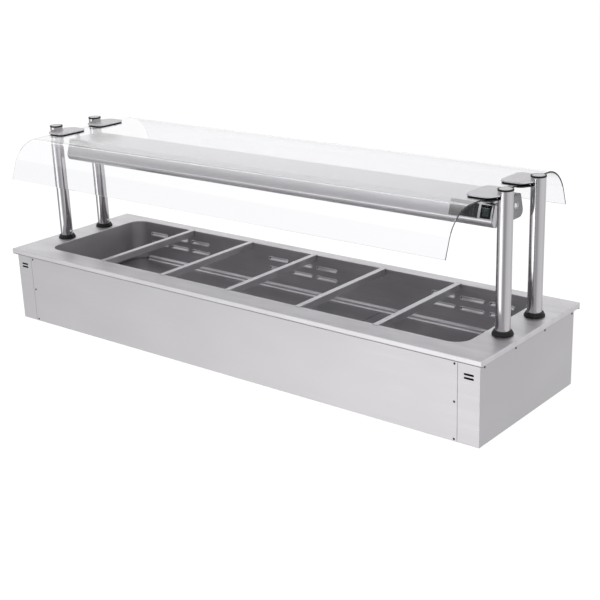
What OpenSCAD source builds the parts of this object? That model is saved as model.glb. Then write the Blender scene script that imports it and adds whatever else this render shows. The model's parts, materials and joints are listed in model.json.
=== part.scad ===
// Drop-in bain marie: a ventilated dry well for six 1/1 pans, with a glass canopy and a heat-lamp gantry.
// X runs along the counter, Y from the front to the back, Z up. The origin is on the underside of the
// casing, half way along, in the plane that holds the gantry.

/* [Deck] */
// Width of the deck past each end of the well
deck_end = 125; // [124:1:150]
// Width of the deck in front of the well
front_land = 90; // [84:1:125]
// Width of the deck behind the well
back_land = 50; // [44:1:85]
// Height of the deck's top face over the casing's underside
deck_z = 300; // [290:1:360]
// Height of the down-turned edge
deck_edge = 20; // [14:1:30]
// Width of the return lip under the edge, which rests on the counter
deck_lip = 13; // [6:0.5:14]
// Thickness of the deck sheet
deck_t = 2; // [1:0.1:3]

/* [Casing] */
// Overhang of the deck past the casing
overhang = 15; // [14.5:0.5:20]
// Thickness of the casing panels
panel_t = 1.5; // [0.8:0.1:2]
// Width of the side panels' returns round the four corners
corner_strip = 80; // [70:1:100]
// Gap at the seams between panels
seam_gap = 1; // [0.3:0.1:2]
// Height of the base plate's folded edge
base_edge = 20; // [16:1:30]
// Depth of the angle frame under the deck
frame_h = 43; // [40:1:60]
// Width of the angle frame's upper leg
frame_leg = 20; // [10:1:20]
// Thickness of the angle frame
frame_t = 2; // [1.5:0.1:3]
// Width of the uprights behind the seams
upright_w = 60; // [50:1:90]
// Depth of the uprights
upright_d = 20; // [12:1:30]

/* [Panel screws] */
// Diameter of a screw head
screw_head_d = 8; // [6:0.5:10]
// Height of a screw head
screw_head_h = 2.4; // [1.5:0.1:4]
// Diameter of a screw shank
screw_d = 4; // [3:0.5:5]
// Length of a screw shank
screw_l = 8; // [6:0.5:10]
// Distance of the screws from the seam
screw_inset = 12; // [8:1:16]
// Height of the top screws under the deck's top face
screw_drop = 35; // [26:1:40]
// Height of the lowest screws
screw_low = 8; // [6:1:12]
// From the casing's front to the first screw of a side panel
side_screw_front = 27; // [20:1:60]
// From the casing's back to the last screw of a side panel
side_screw_back = 14; // [10:1:60]

/* [Corner vents] */
// Length of a vent slot
vent_l = 36; // [20:1:50]
// Height of a vent slot
vent_h = 7; // [3:0.5:8]
// Distance between the two slots of a pair
vent_pitch = 12.5; // [9:0.5:20]
// Depth of the upper slot's centre under the deck's top face
vent_drop = 61.5; // [52:0.5:90]

/* [Well] */
// Width of one pan bay along the well
bay_pitch = 330; // [315:1:360]
// Front to back opening of the well
well_w = 510; // [500:1:520]
// Radius of the well's upright corners
well_r = 60; // [30:1:80]
// Thickness of the tank sheet
tank_t = 2; // [1:0.1:3]
// Width of the tank's rim under the deck
tank_rim = 10; // [6:1:14]
// Depth of the well from the deck's top to the floor plates
well_depth = 170; // [160:1:180]
// Height of the air space under the floor plates
plenum_h = 22; // [16:1:30]
// Gap round the floor plates
floor_gap = 10; // [6:1:14]
// Gap between neighbouring floor plates
floor_joint = 2; // [1:0.5:6]
// Thickness of the floor plates
floor_t = 1.5; // [1:0.1:2.5]
// Height of the lip along the back of the floor plates
floor_lip = 12; // [8:1:16]

/* [Air slots] */
// Length of an air slot in the back wall
slot_l = 98; // [80:1:105]
// Height of an air slot
slot_h = 11; // [6:0.5:16]
// Distance between the slots of a row
slot_pitch = 122; // [112:1:126]
// Depth of the upper row under the deck's top face
slot_drop = 52; // [46:1:60]
// Distance between the rows
slot_rows = 40; // [30:1:46]

/* [Divider bars] */
// Width of a divider bar
bar_w = 22; // [16:1:30]
// Depth of a divider bar
bar_h = 25; // [20:1:50]
// Sheet thickness of a divider bar
bar_t = 1.5; // [1:0.1:2]
// How far a bar's ends lie on the deck
bar_seat = 8; // [5:1:14]
// Gap between a bar's sides and the tank's walls
bar_gap = 3; // [2:0.5:6]

/* [Gantry posts] */
// Distance from the deck's ends to the posts' axes
post_inset = 67; // [65:1:70]
// Distance from the gantry plane to the posts
post_y = 105; // [100:1:115]
// Outer diameter of a post
post_d = 50; // [44:1:52]
// Wall of a post
post_t = 2; // [1.5:0.1:3]
// Height of a post's tube over the deck
post_h = 472; // [440:1:560]
// Height of the black rim round a post's cap
cap_h = 5.5; // [4:0.5:8]
// Diameter of a base collar at the deck
collar_d = 71; // [64:1:76]
// Diameter of a base collar at its top
collar_top_d = 60; // [57:1:62]
// Height of a base collar
collar_h = 14; // [8:1:20]
// Length of the plug in a post's foot
plug_l = 45; // [40:1:60]
// Diameter of the set screw
set_screw_d = 6; // [4:0.5:8]
// Height of the set screw over the deck
set_screw_z = 30; // [24:1:36]
// Diameter of a post's anchor bolt
anchor_d = 12; // [8:1:14]
// Thickness of the plates under the deck
anchor_plate_t = 4; // [3:0.5:6]

/* [Glass canopy] */
// Distance from the posts' axes to the glass's ends
glass_gap = 41; // [36:1:48]
// Thickness of the glass
glass_t = 6; // [5:0.5:8]
// Half the width of the flat top of the glass
glass_flat = 247; // [220:1:280]
// Outer radius of the glass's bends
glass_r = 127; // [100:1:150]
// Angle of the glass's bends
glass_a = 70; // [60:1:80]
// Length of the straight skirt after a bend
glass_skirt = 60; // [30:1:80]

/* [Glass clamps] */
// Depth of the clamp plates' top face under the posts' tops
clamp_drop = 10; // [8:1:20]
// Thickness of a clamp plate
clamp_t = 5; // [4:0.5:8]
// Reach of a clamp plate from the post's axis
clamp_reach = 108; // [100:1:120]
// Half the width of a clamp plate
clamp_half = 68; // [60:1:74]
// Thickness of the gasket over the glass
gasket_t = 3; // [2:0.5:5]
// Thickness of the pad under the glass
pad_t = 4; // [3:0.5:6]
// Diameter of the clamp studs
stud_d = 8; // [6:0.5:9]
// Distance of the studs from the post's axis, along the counter
stud_x = 75; // [72:1:80]
// Distance of the studs from the post's axis, front to back
stud_y = 45; // [42:1:48]

/* [Lamp housing] */
// Distance from the posts' axes to the lamp's ends
lamp_gap = 49; // [47:1:51]
// Height of the lamp housing
lamp_h = 80; // [74:1:90]
// Gap between the clamp pads and the lamp's top
lamp_drop = 27; // [20:1:40]
// Half the width of the lamp's top, corner to corner
lamp_top = 82; // [80:1:86]
// Half the width of the lamp's bottom, corner to corner
lamp_bottom = 105.5; // [100:0.5:110]
// Radius of the lamp's lower edges
lamp_r = 22; // [16:1:26]
// Radius of the lamp's upper edges
lamp_edge_r = 6; // [3:0.5:8]
// Sheet thickness of the lamp housing
lamp_t = 1.5; // [1:0.1:2]
// Thickness of a lamp end cap
end_cap_t = 3; // [2:0.5:4]
// Half the width of the slot under the lamp
lamp_slot = 66; // [60:1:66]

/* [Heat lamps] */
// Diameter of a quartz heat lamp
quartz_d = 10; // [8:0.5:12]
// Length of the lamp kept for wiring beside the controller
wiring_l = 37; // [20:1:80]
// Length of a ceramic lamp holder
holder_l = 14; // [10:1:20]
// Height of the reflector
reflector_h = 50; // [44:1:54]
// Thickness of the reflector sheet
reflector_t = 1; // [0.8:0.1:1.5]
// Width of a bar in the lamp guard
guard_w = 4; // [3:0.5:6]
// Thickness of the lamp guard
guard_t = 2; // [1:0.5:3]

/* [Controls] */
// Width of the temperature controller's bezel
ctrl_w = 102; // [98:1:106]
// Height of the controller's bezel along the sloping face
ctrl_h = 46; // [44:1:49]
// Width of the controller's window
window_w = 65.7; // [50:0.1:68]
// Height of the controller's window
window_h = 28.8; // [20:0.1:32]
// Distance from the lamp's right end to the controller's middle
ctrl_from_end = 108; // [106:1:130]
// Width of the power switch's bezel
switch_w = 36; // [34:1:38]
// Height of the power switch's bezel along the sloping face
switch_h = 43; // [42:1:46]
// Distance from the lamp's right end to the switch's middle
switch_from_end = 28; // [27:1:30]
// Height of the bezels' middles under the lamp's top face
ctrl_drop = 28; // [27:1:34]
// How far the bezels stand out of the lamp's face
bezel_t = 4; // [3:0.5:5]
// Travel of a controller key
key_travel = 0.8; // [0.4:0.1:1]
// Angle between the two positions of the power rocker
rocker_swing = 14; // [8:1:16]

/* [Air heating] */
// Diameter of a fan impeller
impeller_d = 160; // [140:1:170]
// Height of the impeller's blades
blade_h = 38; // [30:1:40]
// Height of a fan housing
fan_box_h = 62; // [58:1:66]
// Diameter of a fan motor
motor_d = 76; // [60:1:90]
// Diameter of a fan shaft
shaft_d = 8; // [6:0.5:10]
// Diameter of a heater's ring
heater_ring_d = 216; // [205:1:225]
// Diameter of a heater's rod
heater_rod_d = 8; // [6:0.5:10]
// Thickness of the insulation round the well
insulation_t = 25; // [15:1:40]

/* [Mains inlet] */
// Diameter of the gland's cable hole
gland_bore_d = 13; // [9:0.5:15]
// Diameter of the gland's body
gland_d = 22; // [19:0.5:25]
// Distance from the casing's right end to the gland
gland_from_end = 130; // [120:1:180]
// Height of the gland over the casing's underside
gland_z = 45; // [36:1:60]

/* [Clearances] */
// Radial clearance of a bolt or stud in its hole
bolt_clear = 0.5; // [0.2:0.1:1]
// Radial clearance of a shaft or pin that turns
turn_clear = 0.05; // [0.01:0.01:0.1]
// Gap round keys, rocker and bodies in their openings
fit_clear = 0.3; // [0.2:0.05:0.5]

/* [Hidden] */
$fn = 64;
bays = 6;
pairs = bays / 2;
// Overshoot that lets a cut pass clean through a face
cut = 1;

well_len = bays * bay_pitch;
deck_x = well_len / 2 + deck_end;
deck_front = well_w / 2 + front_land;
deck_back = well_w / 2 + back_land;
case_x = deck_x - overhang;
case_front = deck_front - overhang;
case_back = deck_back - overhang;
under_deck = deck_z - deck_t;
frame_z = under_deck - frame_h;
seam_x = case_x - corner_strip;
screw_x = seam_x - screw_inset;
screw_top = deck_z - screw_drop;
screw_mid = (screw_top + screw_low) / 2;
// The places of the front and rear screws: x and z
screw_places = [for (s = [-1, 1], z = [screw_low, screw_mid, screw_top]) [s * screw_x, z]];
// The places of the side screws, front to back
side_screws = 4;
side_screw_y0 = -case_front + side_screw_front;
side_screw_step = (case_back - side_screw_back - side_screw_y0) / (side_screws - 1);
side_screw_y = [for (i = [0 : side_screws - 1]) side_screw_y0 + i * side_screw_step];
floor_z = deck_z - well_depth;
tank_floor = floor_z - plenum_h;
tank_under = tank_floor - tank_t;
// Openings under the floor plates' back edge, one in the middle of each bay
gate_w = 140;

// Middle of the air slots of each pair of bays, seen from the middle of that pair
slot_shift = [-80, -62, 60];
duct_over = 22.5;
duct_inset = 30;
duct_top = deck_z - slot_drop + slot_h / 2 + duct_over;
duct_depth = case_back - panel_t - frame_t - well_w / 2 - tank_t;

post_x = deck_x - post_inset;
post_r = post_d / 2;
post_top = deck_z + post_h;
plug_r = post_r - post_t;
plug_web = 8;
cap_lip = 1;
cap_edge = 1;
cap_dome_r = 21;
cap_dome_h = 1;
cap_plug_l = 14;
set_screw_in = 10;
set_head_r = 5;
set_head_h = 2.5;
anchor_head_r = 10.2;
anchor_head_h = 8;
anchor_tip = 4;
// The plates under the deck lie between the tank's rim and the angle frame
anchor_gap = 2;
anchor_plate_x0 = well_len / 2 + tank_t + tank_rim + anchor_gap;
anchor_plate_x1 = case_x - panel_t - frame_leg - anchor_gap;
anchor_plate_past = 40;

clamp_top = post_top - clamp_drop;
gasket_top = clamp_top - clamp_t;
glass_top = gasket_top - gasket_t;
pad_top = glass_top - glass_t;
pad_under = pad_top - pad_t;
glass_x = post_x - glass_gap;
glass_hole_clear = 2;
clamp_tip_r = 22;
clamp_mid_r = 28;
clamp_mid_x = 42;
clamp_root_r = 13;
clamp_root_x = 16;
clamp_root_y = 26;
layer_in = 3;
nut_r = 7.4;
nut_h = 6.5;
stud_tip = 3.5;

lamp_top_z = pad_under - lamp_drop;
lamp_z = lamp_top_z - lamp_h;
lamp_x = post_x - lamp_gap;
housing_x = lamp_x - end_cap_t;
lamp_lean = atan((lamp_bottom - lamp_top) / lamp_h);
lamp_side = lamp_h / cos(lamp_lean);
stud_from_mid = post_y - stud_y;
spacer_r = 9;
face_cut = 12;
end_bolt_y = 53;
end_bolt_z = lamp_z + 44;
end_bolt_r = 4;
end_bolt_head_r = 12.5;
end_bolt_head_h = 5.5;
end_bolt_in = 6;

ctrl_x = lamp_x - ctrl_from_end;
switch_x = lamp_x - switch_from_end;
// The reflector stops before the controls
reflector_end = 10;
reflector_x0 = -housing_x + 2 * reflector_end;
reflector_x1 = ctrl_x - ctrl_w / 2 - wiring_l;
quartz_pitch = (reflector_x1 - reflector_x0 - 2 * reflector_end) / pairs;
guard_top = lamp_z + lamp_t + guard_t;
guard_end = 30;
guard_cells = 18;
guard_step = (2 * (housing_x - guard_end) - guard_w) / guard_cells;
reflector_half = 35;
reflector_foot = lamp_slot - 4;
lip_half = lamp_slot + 6;
quartz_z = guard_top + reflector_h / 2;
holder_half = 11;
holder_under = 12;

// How far a heat lamp's ends sit in their holders
quartz_in = 6;
quartz_l = quartz_pitch - 2 * holder_l - 2 * quartz_in;
quartz_half = quartz_l / 2 + quartz_in;

// The controller's body is a little smaller than its bezel
ctrl_rim_x = 5;
ctrl_rim_y = 4.5;
ctrl_body_w = ctrl_w - 2 * ctrl_rim_x;
ctrl_body_h = ctrl_h - 2 * ctrl_rim_y;
ctrl_depth = 34;
window_x = -10.6;
window_seat = 1.5;
window_t = 1.2;
keys = 4;
key_w = 8;
key_h = 6;
key_pitch = 9;
key_over = 0.2;
key_from_edge = 13;
key_x = ctrl_w / 2 - key_from_edge;
switch_rim = 4;
switch_body_w = switch_w - 2 * switch_rim;
switch_body_h = switch_h - 2 * switch_rim;
switch_depth = 24;
rocker_rim = 2;
rocker_w = switch_body_w - 2 * rocker_rim;
rocker_l = 29.2;
rocker_well = 8;
// Heights of the rocker's ends and middle over the bezel, and how far it reaches into its well
rocker_end = 2.5;
rocker_mid = 0.6;
rocker_in = 1.5;
rocker_taper = 1;
rocker_swing_gap = 1;
pivot_r = 1.5;
pivot_l = 1.2;
pivot_z = -2;

fan_box_half = 130;
fan_box_z = tank_under - fan_box_h;
fan_eye_r = impeller_d / 2 - 26;
shaft_gap = 2;
impeller_gap = 8;
impeller_z = fan_box_z + impeller_gap;
impeller_t = 1.5;
hub_r = 14;
hub_h = 16;
blades = 24;
blade_l = 20;
blade_t = 1.2;
blade_lean = 35;
blade_inset = 12;
ring_w = 22;
ring_t = 2;
motor_foot = 6;
motor_h = fan_box_z - motor_foot;
motor_flange = 8;
motor_flange_t = 3;
// The shaft reaches half way into the motor
shaft_z = fan_box_z - motor_h / 2;
heater_leg_r = 3.5;

gland_x = case_x - gland_from_end;
gland_in = 12;
gland_out = 9;
gland_brim = 4;
gland_brim_t = 4;
gland_nut_t = 5;
term_l = 150;
term_right = 40;
term_d = 100;
term_h = 60;
term_wall = 3;
term_back = case_back - 80;

steel = [0.74, 0.74, 0.75];
dull_steel = [0.42, 0.41, 0.43];
black = [0.08, 0.08, 0.09];

// Points on an arc round c, from angle a0 to a1 in n steps
function arc(c, r, a0, a1, n) = [for (i = [0 : n])
  let (a = a0 + (a1 - a0) * i / n) [c[0] + r * cos(a), c[1] + r * sin(a)]];

function reversed(pts) = [for (i = [len(pts) - 1 : -1 : 0]) pts[i]];

// The points on the other side of the Y axis, in the opposite order
function mirrored(pts) = [for (p = reversed(pts)) [-p[0], p[1]]];

// Points of a low dome's profile, r wide and h high, from its edge to its top
function dome(r, h) = let (big = (r * r + h * h) / (2 * h), a = asin(r / big))
  arc([0, h - big], big, 90 - a, 90, 6);

function raised(pts, z) = [for (p = pts) [p[0], p[1] + z]];

// A block between two corners
module block(x0, x1, y0, y1, z0, z1) {
  translate([x0, y0, z0]) cube([x1 - x0, y1 - y0, z1 - z0]);
}

// A flat rectangle with round corners, centred
module round_rect(l, w, r) {
  square([l - 2 * r, w], center = true);
  square([l, w - 2 * r], center = true);
  for (sx = [-1, 1], sy = [-1, 1]) translate([sx * (l / 2 - r), sy * (w / 2 - r)]) circle(r);
}

// A slot with round ends along X, cut through along Y at the given place
module slot_y(x, y0, y1, z, l, h) {
  translate([x, y1, z]) rotate([90, 0, 0]) linear_extrude(y1 - y0) {
    square([l - h, h], center = true);
    for (s = [-1, 1]) translate([s * (l - h) / 2, 0]) circle(h / 2);
  }
}

// A round rod along Y
module rod_y(x, y0, y1, z, r) {
  translate([x, y1, z]) rotate([90, 0, 0]) cylinder(h = y1 - y0, r = r);
}

// A round rod along X
module rod_x(x0, x1, y, z, r) {
  translate([x0, y, z]) rotate([0, 90, 0]) cylinder(h = x1 - x0, r = r);
}

// Children at the four posts
module at_posts() {
  for (sx = [-1, 1], sy = [-1, 1]) translate([sx * post_x, sy * post_y, 0]) children();
}

// Middle of a heat lamp
function quartz_x(k) = reflector_x0 + reflector_end + (k + 0.5) * quartz_pitch;

// Height of a controller key on the bezel
function key_y(i) = (i - (keys - 1) / 2) * key_pitch;

// Middle of a pair of bays
function pair_x(k) = (k - (pairs - 1) / 2) * 2 * bay_pitch;

// The tank's outline, grown by g
module well_outline(g) {
  round_rect(well_len + 2 * g, well_w + 2 * g, well_r + g);
}

// Deck

module deck_flange() {
  edge_z = deck_z - deck_edge;
  x = deck_x;
  color(steel) difference() {
    block(-x, x, -deck_front, deck_back, edge_z, deck_z);
    block(-x + deck_t, x - deck_t, -deck_front + deck_t, deck_back - deck_t,
      edge_z + deck_t, under_deck);
    block(-x + deck_lip, x - deck_lip, -deck_front + deck_lip, deck_back - deck_lip,
      edge_z - cut, edge_z + deck_t + cut);
    translate([0, 0, under_deck - cut]) linear_extrude(deck_t + 2 * cut) well_outline(0);
    at_posts() translate([0, 0, under_deck - cut])
      cylinder(h = deck_t + 2 * cut, r = anchor_d / 2 + bolt_clear);
  }
}

// An angle frame welded under the deck, inside the casing
module top_frame() {
  x = case_x - panel_t;
  y0 = -case_front + panel_t;
  y1 = case_back - panel_t;
  color(steel) difference() {
    block(-x, x, y0, y1, frame_z, under_deck);
    block(-x + frame_t, x - frame_t, y0 + frame_t, y1 - frame_t, frame_z - cut, under_deck - frame_t);
    block(-x + frame_leg, x - frame_leg, y0 + frame_leg, y1 - frame_leg, frame_z - cut, deck_z);
    panel_screw_holes(screw_d / 2);
  }
}

// Casing

module panel_screw_holes(r) {
  deep = screw_l + cut;
  for (p = screw_places) {
    rod_y(p[0], -case_front - cut, -case_front + deep, p[1], r);
    rod_y(p[0], case_back - deep, case_back + cut, p[1], r);
  }
  for (y = side_screw_y) {
    rod_x(-case_x - cut, -case_x + deep, y, screw_top, r);
    rod_x(case_x - deep, case_x + cut, y, screw_top, r);
  }
}

// A round-headed screw that points along -Z, with its seat at the origin
module panel_screw() {
  rotate_extrude() polygon(concat([[0, 0]], dome(screw_head_d / 2, screw_head_h)));
  translate([0, 0, -screw_l]) cylinder(h = screw_l, r = screw_d / 2);
}

module panel_screws() {
  color(steel) {
    for (p = screw_places) {
      translate([p[0], -case_front, p[1]]) rotate([90, 0, 0]) panel_screw();
      translate([p[0], case_back, p[1]]) rotate([-90, 0, 0]) panel_screw();
    }
    for (y = side_screw_y) {
      translate([case_x, y, screw_top]) rotate([0, 90, 0]) panel_screw();
      translate([-case_x, y, screw_top]) rotate([0, -90, 0]) panel_screw();
    }
  }
}

module front_panel() {
  x = seam_x - seam_gap;
  color(steel) difference() {
    block(-x, x, -case_front, -case_front + panel_t, 0, under_deck);
    panel_screw_holes(screw_d / 2);
  }
}

module rear_panel() {
  x = seam_x - seam_gap;
  color(steel) difference() {
    block(-x, x, case_back - panel_t, case_back, 0, under_deck);
    panel_screw_holes(screw_d / 2);
    rod_y(gland_x, case_back - panel_t - cut, case_back + cut, gland_z, gland_d / 2);
  }
}

// A side wall with a return round both corners; the returns carry the vent slots
module side_panel() {
  color(steel) difference() {
    block(seam_x, case_x, -case_front, case_back, 0, under_deck);
    block(seam_x - cut, case_x - panel_t, -case_front + panel_t, case_back - panel_t, -cut, deck_z);
    panel_screw_holes(screw_d / 2);
    for (k = [0, 1]) slot_y(seam_x + corner_strip / 2, -case_front - cut, case_back + cut,
      deck_z - vent_drop - k * vent_pitch, vent_l, vent_h);
  }
}

module right_side_panel() {
  side_panel();
}

module left_side_panel() {
  mirror([1, 0, 0]) side_panel();
}

module base_plate() {
  x = case_x - panel_t;
  y0 = -case_front + panel_t;
  y1 = case_back - panel_t;
  color(steel) difference() {
    block(-x, x, y0, y1, 0, base_edge);
    block(-x + panel_t, x - panel_t, y0 + panel_t, y1 - panel_t, panel_t, base_edge + cut);
    panel_screw_holes(screw_d / 2);
  }
}

// A channel behind each seam, to which both panels are screwed
module seam_uprights() {
  half = upright_w / 2;
  color(steel) difference() {
    for (s = [-1, 1], y = [-case_front + panel_t, case_back - panel_t - upright_d])
      block(s * seam_x - half, s * seam_x + half, y, y + upright_d, base_edge, frame_z);
    for (s = [-1, 1]) block(s * seam_x - half + panel_t, s * seam_x + half - panel_t,
      -case_front + 2 * panel_t, case_back - 2 * panel_t, base_edge - cut, frame_z + cut);
    panel_screw_holes(screw_d / 2);
  }
}

// Well

module well_tank() {
  color(dull_steel) difference() {
    union() {
      translate([0, 0, tank_under]) linear_extrude(under_deck - tank_under) well_outline(tank_t);
      translate([0, 0, under_deck - tank_t]) linear_extrude(tank_t) well_outline(tank_t + tank_rim);
    }
    translate([0, 0, tank_floor]) linear_extrude(deck_z - tank_floor) well_outline(0);
    for (k = [0 : pairs - 1], c = [-1 : 1], row = [0, 1])
      slot_y(pair_x(k) + slot_shift[k] + c * slot_pitch, well_w / 2 - cut, well_w / 2 + tank_t + cut,
        deck_z - slot_drop - row * slot_rows, slot_l, slot_h);
    for (k = [0 : pairs - 1]) translate([pair_x(k), 0, tank_under - cut])
      cylinder(h = tank_t + 2 * cut, r = fan_eye_r);
  }
}

// One removable floor plate over each pair of bays, open at the back for the returning air
module floor_plates() {
  half = bay_pitch - floor_joint / 2;
  back = well_w / 2 - floor_gap;
  color(dull_steel) for (k = [0 : pairs - 1]) difference() {
    union() {
      translate([0, 0, tank_floor]) linear_extrude(plenum_h) intersection() {
        well_outline(-floor_gap);
        translate([pair_x(k), 0]) square([2 * half, well_w], center = true);
      }
      intersection() {
        block(pair_x(k) - half, pair_x(k) + half, back - floor_t, back, tank_floor, floor_z + floor_lip);
        block(-well_len / 2 + well_r, well_len / 2 - well_r, 0, well_w, tank_floor, deck_z);
      }
    }
    translate([0, 0, tank_floor - cut]) linear_extrude(plenum_h - floor_t + cut) intersection() {
      well_outline(-floor_gap - floor_t);
      translate([pair_x(k), 0]) square([2 * (half - floor_t), well_w], center = true);
    }
    for (s = [-1, 1]) translate([pair_x(k) + s * bay_pitch / 2, 0, 0])
      block(-gate_w / 2, gate_w / 2, back - 2 * floor_t, back + cut, tank_floor - cut, floor_z - floor_t);
  }
}

// Mineral wool round the tank's front and ends
module well_insulation() {
  color([0.75, 0.68, 0.45]) translate([0, 0, tank_under]) linear_extrude(frame_z - tank_under)
    difference() {
      well_outline(tank_t + insulation_t);
      well_outline(tank_t);
      translate([-deck_x, well_w / 4]) square([2 * deck_x, well_w]);
    }
}

// A duct behind the well's back wall that feeds the air slots
module air_duct() {
  y0 = well_w / 2 + tank_t;
  x = well_len / 2 - duct_inset;
  color(steel) difference() {
    block(-x, x, y0, y0 + duct_depth, tank_under, duct_top);
    block(-x + panel_t, x - panel_t, y0 - cut, y0 + duct_depth - panel_t,
      tank_under + panel_t, duct_top - panel_t);
    for (k = [0 : pairs - 1]) block(pair_x(k) - fan_box_half + panel_t, pair_x(k) + fan_box_half - panel_t,
      y0 - cut, y0 + duct_depth - panel_t, tank_under - cut, tank_under + panel_t + cut);
  }
}

// Air heating under the tank

// A box under the tank that leads the fan's air back to the duct
module fan_housings() {
  y1 = well_w / 2 + tank_t + duct_depth;
  color(steel) for (k = [0 : pairs - 1]) translate([pair_x(k), 0, 0]) difference() {
    block(-fan_box_half, fan_box_half, -fan_box_half, y1, fan_box_z, tank_under);
    block(-fan_box_half + panel_t, fan_box_half - panel_t, -fan_box_half + panel_t, y1 - panel_t,
      fan_box_z + panel_t, tank_under + cut);
    translate([0, 0, fan_box_z - cut]) cylinder(h = panel_t + 2 * cut, r = shaft_d / 2 + shaft_gap);
  }
}

module fan_motors() {
  color([0.3, 0.3, 0.32]) for (k = [0 : pairs - 1]) translate([pair_x(k), 0, 0]) difference() {
    union() {
      translate([0, 0, fan_box_z - motor_h]) cylinder(h = motor_h, r = motor_d / 2);
      translate([0, 0, fan_box_z - motor_flange_t])
        cylinder(h = motor_flange_t, r = motor_d / 2 + motor_flange);
    }
    translate([0, 0, shaft_z - shaft_gap]) cylinder(h = motor_h, r = shaft_d / 2 + turn_clear);
  }
}

// A drum of backward-leaning blades on a back plate, with its hub and shaft
module fan_impeller(k) {
  r = impeller_d / 2;
  color([0.62, 0.64, 0.66]) translate([pair_x(k), 0, impeller_z]) {
    cylinder(h = impeller_t, r = r);
    cylinder(h = hub_h, r = hub_r);
    translate([0, 0, shaft_z - impeller_z])
      cylinder(h = impeller_z - shaft_z + hub_h + ring_t, r = shaft_d / 2);
    for (i = [0 : blades - 1]) rotate([0, 0, i * 360 / blades])
      translate([r - blade_inset, 0, impeller_t / 2]) rotate([0, 0, blade_lean])
        translate([-blade_l / 2, -blade_t / 2, 0]) cube([blade_l, blade_t, blade_h]);
    translate([0, 0, blade_h - ring_t / 2]) difference() {
      cylinder(h = ring_t, r = r);
      translate([0, 0, -cut]) cylinder(h = ring_t + 2 * cut, r = r - ring_w);
    }
  }
}

module fan_impeller_1() {
  fan_impeller(0);
}

module fan_impeller_2() {
  fan_impeller(1);
}

module fan_impeller_3() {
  fan_impeller(2);
}

// A ring heater round each impeller, standing on two legs
module air_heaters() {
  z = impeller_z + blade_h / 2;
  color([0.5, 0.42, 0.36]) for (k = [0 : pairs - 1]) translate([pair_x(k), 0, 0]) {
    translate([0, 0, z]) rotate_extrude() translate([heater_ring_d / 2, 0]) circle(heater_rod_d / 2);
    for (s = [-1, 1]) translate([s * heater_ring_d / 2, 0, fan_box_z + panel_t])
      cylinder(h = z - fan_box_z - panel_t, r = heater_leg_r);
  }
}

module terminal_box() {
  x1 = gland_x + term_right;
  top = panel_t + term_h;
  color([0.55, 0.56, 0.58]) difference() {
    block(x1 - term_l, x1, term_back - term_d, term_back, panel_t, top);
    block(x1 - term_l + term_wall, x1 - term_wall, term_back - term_d + term_wall, term_back - term_wall,
      panel_t + term_wall, top - term_wall);
    rod_y(gland_x, term_back - term_wall - cut, term_back + cut, gland_z, gland_bore_d / 2);
  }
}

// The gland where a mains lead would come in
module cable_gland() {
  inner = case_back - panel_t - gland_in;
  outer = case_back + gland_out;
  color(black) difference() {
    union() {
      rod_y(gland_x, inner, outer, gland_z, gland_d / 2);
      rod_y(gland_x, case_back, case_back + gland_brim_t, gland_z, gland_d / 2 + gland_brim);
      translate([gland_x, case_back - panel_t, gland_z]) rotate([90, 0, 0])
        cylinder(h = gland_nut_t, r = gland_d / 2 + gland_brim, $fn = 6);
    }
    rod_y(gland_x, inner - cut, outer + cut, gland_z, gland_bore_d / 2);
  }
}

// Divider bars

// A folded channel whose two ends lie on the deck
module divider_bar(i) {
  x = (i - bays / 2) * bay_pitch;
  half = well_w / 2;
  color(steel) {
    block(x - bar_w / 2, x + bar_w / 2, -half - bar_seat, half + bar_seat, deck_z, deck_z + bar_t);
    for (s = [-1, 1]) translate([x + s * (bar_w - bar_t) / 2, 0, deck_z - bar_h / 2 + bar_t / 2])
      cube([bar_t, 2 * (half - bar_gap), bar_h - bar_t], center = true);
  }
}

module divider_bar_1() {
  divider_bar(1);
}

module divider_bar_2() {
  divider_bar(2);
}

module divider_bar_3() {
  divider_bar(3);
}

module divider_bar_4() {
  divider_bar(4);
}

module divider_bar_5() {
  divider_bar(5);
}

// Gantry posts

module post(sx, sy) {
  color(steel) translate([sx * post_x, sy * post_y, 0]) difference() {
    translate([0, 0, deck_z]) cylinder(h = post_h, r = post_r);
    translate([0, 0, deck_z - cut]) cylinder(h = post_h + 2 * cut, r = plug_r);
    towards_well(sx) cylinder(h = post_d, r = set_screw_d / 2);
  }
}

// Children at a set screw, with local Z from the post's axis towards the well
module towards_well(sx) {
  translate([0, 0, deck_z + set_screw_z]) rotate([0, -sx * 90, 0]) children();
}

module post_front_left() {
  post(-1, -1);
}

module post_front_right() {
  post(1, -1);
}

module post_rear_left() {
  post(-1, 1);
}

module post_rear_right() {
  post(1, 1);
}

// A black flared collar round each post's foot
module post_collars() {
  color(black) at_posts() translate([0, 0, deck_z]) rotate_extrude()
    polygon([[post_r, 0], [collar_d / 2, 0], [collar_d / 2, collar_h * 0.3],
      [collar_top_d / 2, collar_h], [post_r, collar_h]]);
}

// A button-headed set screw that faces the well and holds the tube on its plug
module post_set_screws() {
  color(black) for (sx = [-1, 1], sy = [-1, 1]) translate([sx * post_x, sy * post_y, 0]) towards_well(sx) {
    translate([0, 0, plug_r - set_screw_in]) cylinder(h = set_screw_in + post_t + cut, r = set_screw_d / 2);
    translate([0, 0, post_r]) cylinder(h = set_head_h, r = set_head_r);
  }
}

module post_foot_plugs() {
  color([0.6, 0.6, 0.62]) for (sx = [-1, 1], sy = [-1, 1]) translate([sx * post_x, sy * post_y, 0])
    difference() {
      translate([0, 0, deck_z]) cylinder(h = plug_l, r = plug_r);
      translate([0, 0, deck_z - cut]) cylinder(h = plug_l - plug_web + cut, r = anchor_d / 2);
      towards_well(sx) translate([0, 0, plug_r - set_screw_in]) cylinder(h = post_d, r = set_screw_d / 2);
    }
}

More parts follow.
